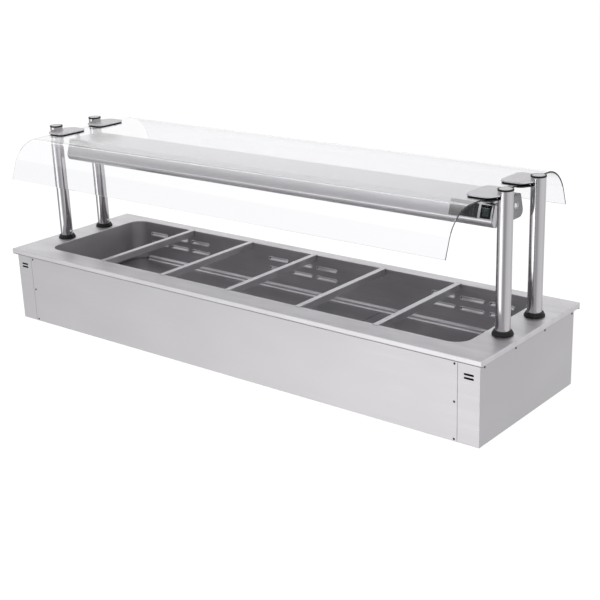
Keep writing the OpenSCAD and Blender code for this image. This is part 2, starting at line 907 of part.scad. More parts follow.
// A plate under each end of the deck that spreads the posts' load
module under_deck_plates() {
  z = under_deck - anchor_plate_t;
  y = post_y + anchor_plate_past;
  color(steel) for (right = [0, 1]) mirror([1 - right, 0, 0]) difference() {
    block(anchor_plate_x0, anchor_plate_x1, -y, y, z, under_deck);
    for (sy = [-1, 1]) translate([post_x, sy * post_y, z - cut])
      cylinder(h = anchor_plate_t + 2 * cut, r = anchor_d / 2 + bolt_clear);
  }
}

module post_bolts() {
  seat = under_deck - anchor_plate_t;
  tip = deck_z + plug_l - plug_web - anchor_tip;
  color([0.6, 0.6, 0.62]) at_posts() {
    translate([0, 0, seat - anchor_head_h]) cylinder(h = anchor_head_h, r = anchor_head_r, $fn = 6);
    translate([0, 0, seat - cut]) cylinder(h = tip - seat + cut, r = anchor_d / 2);
  }
}

// A cap plugged into each post: a black rim with a low dome
module post_caps() {
  rim = post_r + cap_lip;
  color(black) at_posts() translate([0, 0, post_top]) {
    rotate_extrude() polygon(concat([[0, 0], [rim, 0], [rim, cap_h - cap_edge], [rim - cap_edge, cap_h]],
      raised(dome(cap_dome_r, cap_dome_h), cap_h)));
    translate([0, 0, -cap_plug_l]) cylinder(h = cap_plug_l, r = plug_r);
  }
}

// Glass clamps

// Outline of a clamp plate at a right-hand post, drawn in by t: it points along -X
module clamp_outline(t = 0) {
  difference() {
    hull() for (s = [-1, 1]) {
      translate([clamp_tip_r - clamp_reach, s * (clamp_half - clamp_tip_r)]) circle(clamp_tip_r - t, $fn = 32);
      translate([-clamp_mid_x, s * (clamp_half - clamp_mid_r)]) circle(clamp_mid_r - t, $fn = 32);
      translate([-clamp_root_x, s * clamp_root_y]) circle(clamp_root_r - t, $fn = 32);
    }
    circle(post_r + t);
  }
}

// A rubber layer of the clamp stack, a little smaller than the plate, with the holes for its two studs
module clamp_layer(sx, sy, z, t, hole_r) {
  translate([sx * post_x, sy * post_y, z]) mirror([sx < 0 ? 1 : 0, 0, 0]) difference() {
    linear_extrude(t) clamp_outline(layer_in);
    for (s = [-1, 1]) translate([-stud_x, s * stud_y, -cut]) cylinder(h = t + 2 * cut, r = hole_r);
  }
}

// A plate welded to the post, with two studs: the inner one carries the lamp, the outer one a nut
module clamp_plate(sx, sy) {
  lamp_stud = lamp_top_z - lamp_t - nut_h - stud_tip;
  glass_stud = pad_under - nut_h - stud_tip;
  color(steel) {
    translate([sx * post_x, sy * post_y, gasket_top]) mirror([sx < 0 ? 1 : 0, 0, 0])
      linear_extrude(clamp_t) clamp_outline();
    translate([sx * (post_x - stud_x), sy * (post_y - stud_y), lamp_stud])
      cylinder(h = gasket_top + cut - lamp_stud, r = stud_d / 2);
    translate([sx * (post_x - stud_x), sy * (post_y + stud_y), glass_stud])
      cylinder(h = gasket_top + cut - glass_stud, r = stud_d / 2);
  }
}

module clamp_plate_front_left() {
  clamp_plate(-1, -1);
}

module clamp_plate_front_right() {
  clamp_plate(1, -1);
}

module clamp_plate_rear_left() {
  clamp_plate(-1, 1);
}

module clamp_plate_rear_right() {
  clamp_plate(1, 1);
}

module clamp_gaskets() {
  color(black) for (sx = [-1, 1], sy = [-1, 1])
    clamp_layer(sx, sy, glass_top, gasket_t, stud_d / 2);
}

module clamp_pads() {
  color(black) for (sx = [-1, 1], sy = [-1, 1])
    clamp_layer(sx, sy, pad_under, pad_t, stud_d / 2);
}

// Nuts: under the outer half of each pad, and inside the lamp's top
module clamp_nuts() {
  color([0.6, 0.6, 0.62]) for (sx = [-1, 1], sy = [-1, 1]) {
    nut(sx * (post_x - stud_x), sy * (post_y + stud_y), pad_under - nut_h);
    nut(sx * (post_x - stud_x), sy * (post_y - stud_y), lamp_top_z - lamp_t - nut_h);
  }
}

module nut(x, y, z) {
  translate([x, y, z]) difference() {
    cylinder(h = nut_h, r = nut_r, $fn = 6);
    translate([0, 0, -cut]) cylinder(h = nut_h + 2 * cut, r = stud_d / 2);
  }
}

// Glass canopy

// The right half of one face of the canopy, from the end of the flat top to the skirt's edge
function canopy_face(r) =
  let (bend = arc([glass_flat, -glass_r], r, 90, 90 - glass_a, 24))
  concat(bend, [bend[24] + glass_skirt * [cos(glass_a), -sin(glass_a)]]);

module canopy_section() {
  outer = canopy_face(glass_r);
  inner = canopy_face(glass_r - glass_t);
  polygon(concat(outer, reversed(inner), mirrored(reversed(inner)), mirrored(outer)));
}

module glass_canopy() {
  color([0.85, 0.9, 0.93, 0.35]) difference() {
    translate([-glass_x, 0, glass_top]) rotate([90, 0, 90]) linear_extrude(2 * glass_x) canopy_section();
    for (sx = [-1, 1], sy = [-1, 1], s = [-1, 1])
      translate([sx * (post_x - stud_x), sy * (post_y + s * stud_y), pad_top - cut])
        cylinder(h = glass_t + 2 * cut, r = stud_d / 2 + glass_hole_clear);
  }
}

// Lamp housing

// Right half of the lamp's section, drawn in by t: from the bottom's middle to the top's middle
function lamp_half(t) =
  let (l = lamp_side, w = lamp_bottom - lamp_top, h = lamp_h,
    low = [lamp_bottom - lamp_r * (l + w) / h, lamp_r],
    high = [lamp_bottom - (h - lamp_edge_r) * w / h - lamp_edge_r * l / h, h - lamp_edge_r])
  concat(arc(low, lamp_r - t, -90, lamp_lean, 10), arc(high, lamp_edge_r - t, lamp_lean, 90, 5));

module lamp_section(t) {
  polygon(concat(lamp_half(t), mirrored(lamp_half(t))));
}

// Children on the lamp's sloping front face: local X along the lamp, local Z out of the face
module on_lamp_face(x) {
  z = lamp_top_z - ctrl_drop;
  y = lamp_top + ctrl_drop * tan(lamp_lean);
  translate([x, -y, z]) rotate([90 - lamp_lean, 0, 0]) children();
}

module along_lamp(x0, x1) {
  translate([x0, 0, lamp_z]) rotate([90, 0, 90]) linear_extrude(x1 - x0) children();
}

module lamp_housing() {
  color(steel) difference() {
    along_lamp(-housing_x, housing_x) difference() {
      lamp_section(0);
      lamp_section(lamp_t);
      translate([-lamp_slot, -cut]) square([2 * lamp_slot, lamp_t + 2 * cut]);
    }
    for (sx = [-1, 1], sy = [-1, 1])
      translate([sx * (post_x - stud_x), sy * stud_from_mid, lamp_top_z - lamp_t - cut])
        cylinder(h = lamp_t + 2 * cut, r = stud_d / 2 + bolt_clear);
    on_lamp_face(ctrl_x)
      cube([ctrl_body_w + 2 * fit_clear, ctrl_body_h + 2 * fit_clear, face_cut], center = true);
    on_lamp_face(switch_x)
      cube([switch_body_w + 2 * fit_clear, switch_body_h + 2 * fit_clear, face_cut], center = true);
  }
}

module lamp_end_caps() {
  color([0.35, 0.35, 0.37]) difference() {
    for (s = [-1, 1]) along_lamp(s > 0 ? housing_x : -lamp_x, s > 0 ? lamp_x : -housing_x) lamp_section(0);
    for (s = [-1, 1]) rod_x(-lamp_x - cut, lamp_x + cut, s * end_bolt_y, end_bolt_z, end_bolt_r);
  }
}

// Two domed bolts through each end cap
module end_cap_bolts() {
  color([0.8, 0.8, 0.82]) for (sx = [-1, 1], sy = [-1, 1])
    translate([sx * lamp_x, sy * end_bolt_y, end_bolt_z]) rotate([0, sx * 90, 0]) {
      rotate_extrude() polygon(concat([[0, 0]], dome(end_bolt_head_r, end_bolt_head_h)));
      translate([0, 0, -end_cap_t - end_bolt_in]) cylinder(h = end_cap_t + end_bolt_in, r = end_bolt_r);
    }
}

module hanger_spacers() {
  color(steel) for (sx = [-1, 1], sy = [-1, 1])
    translate([sx * (post_x - stud_x), sy * stud_from_mid, lamp_top_z]) difference() {
      cylinder(h = lamp_drop, r = spacer_r);
      translate([0, 0, -cut]) cylinder(h = lamp_drop + 2 * cut, r = stud_d / 2);
    }
}

// Heat lamps

// A folded trough over the heat lamps; its lips lie on the guard
module lamp_reflector() {
  h = reflector_h;
  t = reflector_t;
  b = reflector_half;
  w = reflector_foot;
  color([0.85, 0.86, 0.88]) translate([reflector_x0, 0, guard_top]) rotate([90, 0, 90])
    linear_extrude(reflector_x1 - reflector_x0)
      polygon([[-lip_half, 0], [-w, 0], [-b, h], [b, h], [w, 0], [lip_half, 0], [lip_half, t],
        [w + t, t], [b + t, h + t], [-b - t, h + t], [-w - t, t], [-lip_half, t]]);
}

module quartz_lamps() {
  color([0.9, 0.88, 0.8, 0.6]) for (k = [0 : pairs - 1])
    rod_x(quartz_x(k) - quartz_half, quartz_x(k) + quartz_half, 0, quartz_z, quartz_d / 2);
}

// A ceramic block under the reflector at each end of each heat lamp
module lamp_holders() {
  color([0.93, 0.92, 0.88]) for (k = [0 : pairs - 1], s = [-1, 1]) {
    x = quartz_x(k) + s * (quartz_l + holder_l) / 2;
    difference() {
      block(x - holder_l / 2, x + holder_l / 2, -holder_half, holder_half,
        quartz_z - holder_under, guard_top + reflector_h);
      rod_x(quartz_x(k) - quartz_half, quartz_x(k) + quartz_half, 0, quartz_z, quartz_d / 2);
    }
  }
}

// A flat grille in the slot under the lamps
module lamp_guard() {
  x = housing_x - guard_end;
  z = guard_top - guard_t;
  color(steel) {
    for (y = [-lip_half, -lip_half / 3, lip_half / 3, lip_half])
      block(-x, x, y - guard_w / 2, y + guard_w / 2, z, guard_top);
    for (i = [0 : guard_cells])
      block(i * guard_step - x, i * guard_step - x + guard_w, -lip_half, lip_half, z, guard_top);
  }
}

// Controls on the lamp's face

// The controller's moulded body with its bezel, window seat and key holes
module controller_body() {
  color(black) on_lamp_face(ctrl_x) difference() {
    union() {
      translate([-ctrl_w / 2, -ctrl_h / 2, 0]) cube([ctrl_w, ctrl_h, bezel_t]);
      translate([-ctrl_body_w / 2, -ctrl_body_h / 2, -ctrl_depth])
        cube([ctrl_body_w, ctrl_body_h, ctrl_depth]);
    }
    translate([window_x - window_w / 2, -window_h / 2, bezel_t - window_seat])
      cube([window_w, window_h, window_seat + cut]);
    for (i = [0 : keys - 1]) translate([key_x, key_y(i), bezel_t / 2])
      cube([key_w + 2 * fit_clear, key_h + 2 * fit_clear, bezel_t + cut], center = true);
  }
}

module controller_display() {
  color([0.03, 0.03, 0.04]) on_lamp_face(ctrl_x)
    translate([window_x - window_w / 2, -window_h / 2, bezel_t - window_seat])
      cube([window_w, window_h, window_t]);
}

// A key that stands out of the bezel by a little more than its travel
module controller_key(i) {
  color([0.22, 0.22, 0.24]) on_lamp_face(ctrl_x)
    translate([key_x - key_w / 2, key_y(i) - key_h / 2, key_travel]) cube([key_w, key_h, bezel_t + key_over]);
}

module controller_key_1() {
  controller_key(0);
}

module controller_key_2() {
  controller_key(1);
}

module controller_key_3() {
  controller_key(2);
}

module controller_key_4() {
  controller_key(3);
}

// The switch's frame and body, hollow for the rocker
module switch_body() {
  hole_w = rocker_w + 2 * fit_clear;
  hole_l = rocker_l + 2 * rocker_swing_gap;
  color(black) on_lamp_face(switch_x) difference() {
    union() {
      translate([-switch_w / 2, -switch_h / 2, 0]) cube([switch_w, switch_h, bezel_t]);
      translate([-switch_body_w / 2, -switch_body_h / 2, -switch_depth])
        cube([switch_body_w, switch_body_h, switch_depth]);
    }
    translate([-hole_w / 2, -hole_l / 2, -rocker_well]) cube([hole_w, hole_l, rocker_well + bezel_t + cut]);
    translate([-hole_w / 2 - pivot_l, 0, pivot_z]) rotate([0, 90, 0])
      cylinder(h = hole_w + 2 * pivot_l, r = pivot_r + turn_clear);
  }
}

// A rocker drawn in its off position, with a pivot stub on each side
module power_rocker() {
  a = rocker_l / 2;
  color([0.1, 0.3, 0.2]) on_lamp_face(switch_x) translate([0, 0, pivot_z]) rotate([rocker_swing / 2, 0, 0]) {
    rotate([90, 0, 90]) translate([0, 0, -rocker_w / 2]) linear_extrude(rocker_w)
      polygon([[-a, bezel_t + rocker_end], [0, bezel_t + rocker_mid], [a, bezel_t + rocker_end],
        [a - rocker_taper, -rocker_in], [rocker_taper - a, -rocker_in]]);
    translate([-rocker_w / 2 - pivot_l, 0, 0]) rotate([0, 90, 0])
      cylinder(h = rocker_w + 2 * pivot_l, r = pivot_r);
  }
}

deck_flange();
well_tank();
top_frame();
front_panel();
rear_panel();
left_side_panel();
right_side_panel();
base_plate();
seam_uprights();
panel_screws();
well_insulation();
air_duct();
floor_plates();
fan_housings();
fan_motors();
air_heaters();
fan_impeller_1();
fan_impeller_2();
fan_impeller_3();
terminal_box();
cable_gland();
divider_bar_1();
divider_bar_2();
divider_bar_3();
divider_bar_4();
divider_bar_5();
post_front_left();
post_front_right();
post_rear_left();
post_rear_right();
post_collars();
post_set_screws();
post_caps();
post_foot_plugs();
under_deck_plates();
post_bolts();
clamp_plate_front_left();
clamp_plate_front_right();
clamp_plate_rear_left();
clamp_plate_rear_right();
clamp_gaskets();
clamp_pads();
clamp_nuts();
glass_canopy();
lamp_housing();
lamp_end_caps();
end_cap_bolts();
lamp_reflector();
quartz_lamps();
lamp_holders();
hanger_spacers();
lamp_guard();
controller_body();
controller_display();
controller_key_1();
controller_key_2();
controller_key_3();
controller_key_4();
switch_body();
power_rocker();
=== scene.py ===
# %% [markdown]
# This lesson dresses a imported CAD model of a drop-in bain marie: a long stainless deck with a divided hot
# well, under a lamp gantry and a bent glass canopy. The CAD model gives every place and size, in metres.
# Here each visible piece gets a finer mesh and a finish made of shader nodes.

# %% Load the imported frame
import json
from math import acos, cos, degrees, pi, radians, sin, sqrt

import bmesh
import bpy
from mathutils import Matrix, Vector

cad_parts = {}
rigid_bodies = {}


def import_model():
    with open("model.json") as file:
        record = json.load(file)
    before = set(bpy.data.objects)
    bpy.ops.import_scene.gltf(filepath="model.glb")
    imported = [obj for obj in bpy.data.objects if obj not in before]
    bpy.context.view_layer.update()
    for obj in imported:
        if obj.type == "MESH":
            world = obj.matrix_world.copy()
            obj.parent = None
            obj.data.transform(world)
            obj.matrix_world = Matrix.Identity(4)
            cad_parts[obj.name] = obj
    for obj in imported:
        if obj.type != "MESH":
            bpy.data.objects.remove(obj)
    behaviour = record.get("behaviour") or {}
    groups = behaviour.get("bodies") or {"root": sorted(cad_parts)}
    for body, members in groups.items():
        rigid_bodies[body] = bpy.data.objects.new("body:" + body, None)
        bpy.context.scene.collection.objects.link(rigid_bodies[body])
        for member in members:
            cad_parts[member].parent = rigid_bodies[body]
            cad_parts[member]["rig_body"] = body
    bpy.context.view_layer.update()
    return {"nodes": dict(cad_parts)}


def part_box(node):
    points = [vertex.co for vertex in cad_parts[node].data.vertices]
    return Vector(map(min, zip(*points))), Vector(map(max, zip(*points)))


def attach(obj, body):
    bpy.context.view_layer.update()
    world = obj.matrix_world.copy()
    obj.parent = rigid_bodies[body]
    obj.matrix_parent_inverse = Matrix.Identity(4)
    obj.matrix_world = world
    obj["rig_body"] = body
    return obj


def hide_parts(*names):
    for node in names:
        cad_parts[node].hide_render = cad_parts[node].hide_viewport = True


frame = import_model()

nodes = frame["nodes"]
scene = bpy.context.scene

# %% [markdown]
# The photograph was taken from the front right, a little above the canopy. A camera could be aimed by eye,
# but here its place and turn were found by fitting the corners of the deck, the casing and the posts, so
# they are plain numbers.

# %% Camera
CAMERA_PLACE, LENS_MM, SENSOR_MM = (2.8438, -3.3059, 1.6888), 72.546, 36
yaw, pitch, roll = radians(39.4), radians(-19.07), radians(-2.06)
forward = Vector((-sin(yaw) * cos(pitch), cos(yaw) * cos(pitch), sin(pitch)))
level = Vector((cos(yaw), sin(yaw), 0))
upward = level.cross(forward)
side = level * cos(roll) + upward * sin(roll)
top = upward * cos(roll) - level * sin(roll)
turn = Matrix((side, top, -forward)).transposed().to_4x4()

camera_data = bpy.data.cameras.new("camera")
camera_data.lens = LENS_MM
camera_data.sensor_width = SENSOR_MM
camera = bpy.data.objects.new("camera", camera_data)
camera.matrix_world = Matrix.Translation(CAMERA_PLACE) @ turn
scene.collection.objects.link(camera)
scene.camera = camera
scene.view_settings.view_transform = "Standard"
print("camera looks along", [round(v, 3) for v in forward])


# %% [markdown]
# Colours are easiest to judge as the hex values of a paint program. Shaders work with linear light, so one
# function turns the first into the second. Another adds a shader node with its settings and links, and a
# third starts a material.

# %% Colour and node helpers
def linear(hex_colour):
    """The linear RGBA of an sRGB hex colour."""
    parts = [int(hex_colour[i:i + 2], 16) / 255 for i in (1, 3, 5)]
    return [p / 12.92 if p <= 0.04045 else ((p + 0.055) / 1.055) ** 2.4 for p in parts] + [1]


def add_node(tree, kind, inputs=None, **settings):
    """Adds a shader node. An input is given a value or linked to another node's socket."""
    made = tree.nodes.new("ShaderNode" + kind)
    for key, value in settings.items():
        setattr(made, key, value)
    for key, value in (inputs or {}).items():
        if isinstance(value, bpy.types.NodeSocket):
            tree.links.new(value, made.inputs[key])
        else:
            made.inputs[key].default_value = value
    return made


def finish(name, **sockets):
    """A material whose constant values sit on the Principled shader's own sockets."""
    made = bpy.data.materials.new(name)
    made.use_nodes = True
    shader = made.node_tree.nodes["Principled BSDF"]
    for key, value in sockets.items():
        shader.inputs[key.replace("_", " ")].default_value = value
    return made, made.node_tree, shader


print("mid grey is", round(linear("#808080")[0], 3), "in linear light")


# %% [markdown]
# Most of the unit is stainless steel sheet. Its look comes from two things: fine lines left by the brushing
# belt, which blur reflections across the grain, and slow changes of tone over hand widths. A picture of
# brushed steel would need unwrapping and would repeat, so both are noise in the object's own coordinates.
# Real brush lines are about 0.1 mm wide, too fine for this picture, so they are drawn 2 mm wide and 300 mm
# long.

# %% Metal with a grain
GRAIN_BUMP, NOISE_LOW, NOISE_HIGH, SUM_LOW, SUM_HIGH = 0.35, 0.3, 0.7, 0.75, 1.25


def sheet_metal(name, shade, dark_shade, roughness, grain_mm, cloud_mm, spread=0.06, depth=0.00004):
    """A metal with streaks of grain_mm and clouds of tone of cloud_mm, each along X, Y and Z.

    The streaks change the roughness by spread either way, and are depth deep, in metres.
    """
    made, tree, shader = finish(name, Metallic=1.0)
    place = add_node(tree, "TexCoord").outputs["Object"]
    stretch = add_node(tree, "Mapping", {"Vector": place, "Scale": [1000 / g for g in grain_mm]})
    streaks = add_node(tree, "TexNoise", {"Vector": stretch.outputs[0], "Scale": 1, "Detail": 3})
    spread_out = add_node(tree, "Mapping", {"Vector": place, "Scale": [1000 / c for c in cloud_mm]})
    clouds = add_node(tree, "TexNoise", {"Vector": spread_out.outputs[0], "Scale": 1, "Detail": 2})
    both = add_node(tree, "Math", {0: streaks.outputs["Fac"], 1: clouds.outputs["Fac"]}, operation="ADD")
    amount = add_node(tree, "MapRange", {"Value": both.outputs[0], "From Min": SUM_LOW, "From Max": SUM_HIGH})
    tone = add_node(tree, "Mix", {"Factor": amount.outputs[0]}, data_type="RGBA")
    tone.inputs["A"].default_value = linear(dark_shade)
    tone.inputs["B"].default_value = linear(shade)
    tree.links.new(tone.outputs["Result"], shader.inputs["Base Color"])
    rough = add_node(tree, "MapRange", {"Value": streaks.outputs["Fac"],
                                        "From Min": NOISE_LOW, "From Max": NOISE_HIGH,
                                        "To Min": roughness - spread, "To Max": roughness + spread})
    tree.links.new(rough.outputs[0], shader.inputs["Roughness"])
    bump = add_node(tree, "Bump", {"Height": streaks.outputs["Fac"], "Strength": GRAIN_BUMP, "Distance": depth})
    tree.links.new(bump.outputs[0], shader.inputs["Normal"])
    return made


ALONG_X, ALONG_Y, ALONG_Z = (300, 2, 2), (2, 300, 2), (2, 2, 300)
CLOUDS, DECK_CLOUDS, LAMP_CLOUDS = (420, 420, 180), (240, 60, 60), (500, 90, 90)
SMALL_CLOUDS = (60, 60, 60)
print("brush lines:", ALONG_X[1], "mm wide and", ALONG_X[0], "mm long")

# %% [markdown]
# The steels differ in how each sheet was finished. The deck and the casing are brushed along their length, the
# well is dull as rolled, and the posts are polished to satin. Some faces get a lighter or darker copy of a
# steel: painted light on the deck's and the bars' sides, painted highlights on edges, lips and small domes,
# and painted shade on the flank of the lamp's lower roll.

# %% Steels of the deck, the casing and the well
deck_steel = sheet_metal("brushed_stainless_deck", "#D1CFD2", "#BEBCBF", 0.42, ALONG_X, DECK_CLOUDS)
# The deck's sides: a lighter copy of the deck steel, painted light.
deck_edge_painted_light = sheet_metal("deck_edge_steel_painted_light", "#D8D6D9", "#CCCACD", 0.40, ALONG_X, DECK_CLOUDS)
casing_steel = sheet_metal("brushed_stainless_casing", "#C8C6C9", "#C2C0C3", 0.42, ALONG_X, CLOUDS, 0.04,
                           0.00002)
tank_steel = sheet_metal("dull_rolled_stainless", "#CDCBCE", "#BFBDC0", 0.45, ALONG_X, (300, 300, 90))
floor_steel = sheet_metal("dull_floor_plate_steel", "#A3A1A4", "#979598", 0.45, ALONG_X, (300, 90, 90))
# A painted highlight on the underside of the lamp housing's lower roll.
roll_underside_painted_highlight = sheet_metal("roll_underside_steel_painted_highlight", "#F6F5F7", "#F0EFF1", 0.22, ALONG_X, SMALL_CLOUDS, 0.03)
# Painted shade on the flank of that roll: a darker copy of the lamp steel.
roll_flank_painted_shade = sheet_metal("roll_flank_steel_painted_shade", "#A6A4A7", "#A09EA1", 0.40, ALONG_X, LAMP_CLOUDS, 0.03)
# A lighter copy of the steel for the bars' sides, the clamp plates' edges, the slot louvres and the upstands:
# painted light and painted highlights.
lit_edges_painted_light = sheet_metal("lit_edges_steel_painted_light", "#E0DEE1", "#D5D3D6", 0.38, ALONG_X, SMALL_CLOUDS, 0.03)
bar_steel = sheet_metal("brushed_stainless_bar", "#C3C1C4", "#B4B2B5", 0.34, ALONG_Y, (60, 200, 60))
print("materials so far:", len(bpy.data.materials))

# %% Steels of the gantry, fasteners and inner pieces
post_steel = sheet_metal("satin_polished_tube", "#C4C2C5", "#C0BEC1", 0.14, ALONG_Z, (40, 40, 200), 0.02)
plate_steel = sheet_metal("satin_stainless_plate", "#C3C1C4", "#B9B7BA", 0.32, ALONG_X, SMALL_CLOUDS)
lamp_steel = sheet_metal("satin_stainless_lamp", "#CCCACD", "#CAC8CB", 0.30, ALONG_X, LAMP_CLOUDS, 0.01,
                         0.000001)
galvanised = sheet_metal("galvanised_sheet", "#9DA1A4", "#84898D", 0.45, (25, 25, 25), (9, 9, 9))
zinc = sheet_metal("zinc_plated_steel", "#A4A5A8", "#949598", 0.32, (6, 6, 6), (12, 12, 12))
dark_screw = sheet_metal("blackened_screw_steel", "#4E4D4F", "#3F3E40", 0.38, (4, 4, 4), (8, 8, 8))
# Polished steel for small domes, lighter than the other steels: a painted highlight.
dome_steel_painted_highlight = sheet_metal("polished_dome_steel_painted_highlight", "#EDECEE", "#E2E1E3", 0.35, (5, 5, 5), (10, 10, 10), 0.03)
reflector_aluminium = sheet_metal("bright_rolled_aluminium", "#D3D4D6", "#C6C7CA", 0.18, ALONG_X, CLOUDS, 0.04)
heater_sheath = sheet_metal("heat_tinted_sheath", "#75645A", "#584B43", 0.42, (30, 30, 30), SMALL_CLOUDS)
print("materials so far:", len(bpy.data.materials))


# %% [markdown]
# Moulded plastic, rubber and enamel aren't metals: their colour lies under a clear skin that reflects a
# little. A moulding's skin copies the spark-eroded texture of its tool, so it is slightly pebbled, and a
# rubbed patch is smoother than a fresh one. The same two noises serve the black vent plugs, which paint
# shade, and ceramic and wool, with pebbles of their own size. A flat colour would look like a drawing of
# plastic, and a porous or matt skin reflects less than a glossy one, so its specular level is lower.

# %% Pebbled skin
SKIN_BUMP, RUBBED_ACROSS, SKIN_SPREAD = 0.4, 18, 0.05


def skin(name, shade, dark_shade, roughness, pebble_mm, depth, **sockets):
    """A non-metal with a pebbled skin: pebble_mm across, depth in metres."""
    made, tree, shader = finish(name, **sockets)
    place = add_node(tree, "TexCoord").outputs["Object"]
    pebbles = add_node(tree, "TexNoise", {"Vector": place, "Scale": 1000 / pebble_mm, "Detail": 2})
    rubbed = add_node(tree, "TexNoise", {"Vector": place, "Scale": 1000 / (pebble_mm * RUBBED_ACROSS),
                                         "Detail": 2})
    tone = add_node(tree, "Mix", {"Factor": rubbed.outputs["Fac"]}, data_type="RGBA")
    tone.inputs["A"].default_value = linear(dark_shade)
    tone.inputs["B"].default_value = linear(shade)
    tree.links.new(tone.outputs["Result"], shader.inputs["Base Color"])
    rough = add_node(tree, "MapRange", {"Value": rubbed.outputs["Fac"],
                                        "From Min": NOISE_LOW, "From Max": NOISE_HIGH,
                                        "To Min": roughness - SKIN_SPREAD, "To Max": roughness + SKIN_SPREAD})
    tree.links.new(rough.outputs[0], shader.inputs["Roughness"])
    bump = add_node(tree, "Bump", {"Height": pebbles.outputs["Fac"], "Strength": SKIN_BUMP, "Distance": depth})
    tree.links.new(bump.outputs[0], shader.inputs["Normal"])
    return made


# %% Plastics, rubber, enamel, ceramic and wool
black_plastic = skin("black_moulded_nylon", "#1A191B", "#131214", 0.50, 0.8, 0.00003, Specular_IOR_Level=0.25)
controller_plastic = skin("charcoal_moulded_abs", "#3B3A3D", "#323134", 0.45, 0.8, 0.00003)
black_rubber = skin("black_rubber", "#1F1E20", "#171618", 0.6, 1.2, 0.00004)
cap_grey = skin("grey_enamelled_casting", "#A09FA2", "#949396", 0.40, 2.0, 0.00002)
dome_grey = skin("light_grey_cap_lacquer", "#A9A8AA", "#9F9EA0", 0.35, 2.0, 0.00002)
# A grey seal colour that paints the thin shadow under the deck's lip.
seal_painted_shadow = skin("grey_seal_painted_shadow", "#98979B", "#8C8B8F", 0.5, 1.5, 0.00002)
# Black plugs that paint the shade inside the vent slots.
vent_plug_painted_shade = skin("black_vent_plug_painted_shade", "#0E0D0F", "#080709", 0.9, 1.2, 0.0003, Specular_IOR_Level=0.1)
motor_grey = skin("motor_enamel", "#4A4B4E", "#3E3F42", 0.38, 3.0, 0.00005)
key_grey = skin("grey_moulded_key", "#58575A", "#4D4C4F", 0.5, 0.8, 0.00003)
display_black = skin("black_acrylic_window", "#17161A", "#121115", 0.12, 40, 0.00001, Coat_Weight=0.5)
rocker_green = skin("dark_green_rocker_plastic", "#213633", "#1B2D2A", 0.25, 30, 0.00001, Coat_Weight=0.3)
ceramic = skin("steatite_ceramic", "#E4E0D6", "#D8D3C7", 0.55, 1.5, 0.00005)
wool = skin("mineral_wool", "#B8A86E", "#9C8C55", 0.95, 4, 0.0015)
print("materials so far:", len(bpy.data.materials))

# %% [markdown]
# The canopy is toughened float glass. It is clear on its faces, with a ripple too slow to see but for the way
# it bends a reflection. A ground edge looks dark green grey because light travels a long way inside the sheet
# before it leaves there; here that look is painted shade, an opaque dark skin on one end face. A see-through
# mix shader would be quicker, but refraction through two real faces is what gives the sheet its thickness.
# The heat lamps' tubes are clear quartz with a faint haze.

# %% Glass
RIPPLE_MM, HAZE_MM = 350, 12
clear_glass, glass_tree, glass_shader = finish("toughened_float_glass", Transmission_Weight=1.0, IOR=1.5,
                                               Roughness=0.0, Base_Color=linear("#F9F9FB"))
place = add_node(glass_tree, "TexCoord").outputs["Object"]
ripple = add_node(glass_tree, "TexNoise", {"Vector": place, "Scale": 1000 / RIPPLE_MM, "Detail": 1})
bump = add_node(glass_tree, "Bump", {"Height": ripple.outputs["Fac"], "Strength": 0.15, "Distance": 0.0004})
glass_tree.links.new(bump.outputs[0], glass_shader.inputs["Normal"])

# An opaque dark skin for a ground end face: painted shade for the dark line it shows.
glass_end_painted_shade = skin("glass_end_skin_painted_shade", "#474B4C", "#393D3E", 0.55, 0.6, 0.00002)

quartz, quartz_tree, quartz_shader = finish("clear_quartz_tube", Transmission_Weight=0.7, IOR=1.46)
place = add_node(quartz_tree, "TexCoord").outputs["Object"]
haze = add_node(quartz_tree, "TexNoise", {"Vector": place, "Scale": 1000 / HAZE_MM, "Detail": 2})
tone = add_node(quartz_tree, "Mix", {"Factor": haze.outputs["Fac"]}, data_type="RGBA")
tone.inputs["A"].default_value = linear("#F2E9DA")
tone.inputs["B"].default_value = linear("#E8DCC6")
quartz_tree.links.new(tone.outputs["Result"], quartz_shader.inputs["Base Color"])
print("materials in all:", len(bpy.data.materials))

# %% [markdown]
# Every piece starts as a mesh in code and ends as an object that rides on one of the CAD bodies and stands
# for the CAD nodes it replaces. One function does all of that. Smooth shading stops at real corners, and the
# weighted normals keep large flat faces flat up to their rounded edges.

# %% Mesh to piece
def body_of(node_name):
    """The body that a CAD node rides on."""
    return nodes[node_name]["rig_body"]


def new_piece(name, mesh, finishes, body, stands_for=(), sharp=35):
    """Links a mesh as a piece of the object, with smooth shading up to the given angle."""
    data = bpy.data.meshes.new(name)
    bmesh.ops.recalc_face_normals(mesh, faces=mesh.faces)
    mesh.to_mesh(data)
    mesh.free()
    data.shade_smooth()
    data.set_sharp_from_angle(angle=radians(sharp))
    for each in finishes if isinstance(finishes, (list, tuple)) else [finishes]:
        data.materials.append(each)
    made = bpy.data.objects.new(name, data)
    scene.collection.objects.link(made)
    weigh = made.modifiers.new("even_shading", "WEIGHTED_NORMAL")
    weigh.keep_sharp = True
    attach(made, body)
    if stands_for:
        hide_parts(*stands_for)
    return made


print("bodies to ride on:", len({body_of(name) for name in nodes}))


# %% [markdown]
# A loft joins closed loops of points into a skin, which suits anything whose section stays the same shape:
# the deck's edge, the glass, seals and strips. It could be a curve with a bevel profile, but loops give every
# point its exact place.

# %% Lofts
def loft(mesh, loops, closed=False):
    """Joins loops that have the same number of points. A closed loft returns to its first loop."""
    rings = [[mesh.verts.new(p) for p in loop] for loop in loops]
    for low, high in zip(rings, rings[1:] + (rings[:1] if closed else [])):
        for i in range(len(low)):
            j = (i + 1) % len(low)
            mesh.faces.new((low[i], low[j], high[j], high[i]))
    return rings


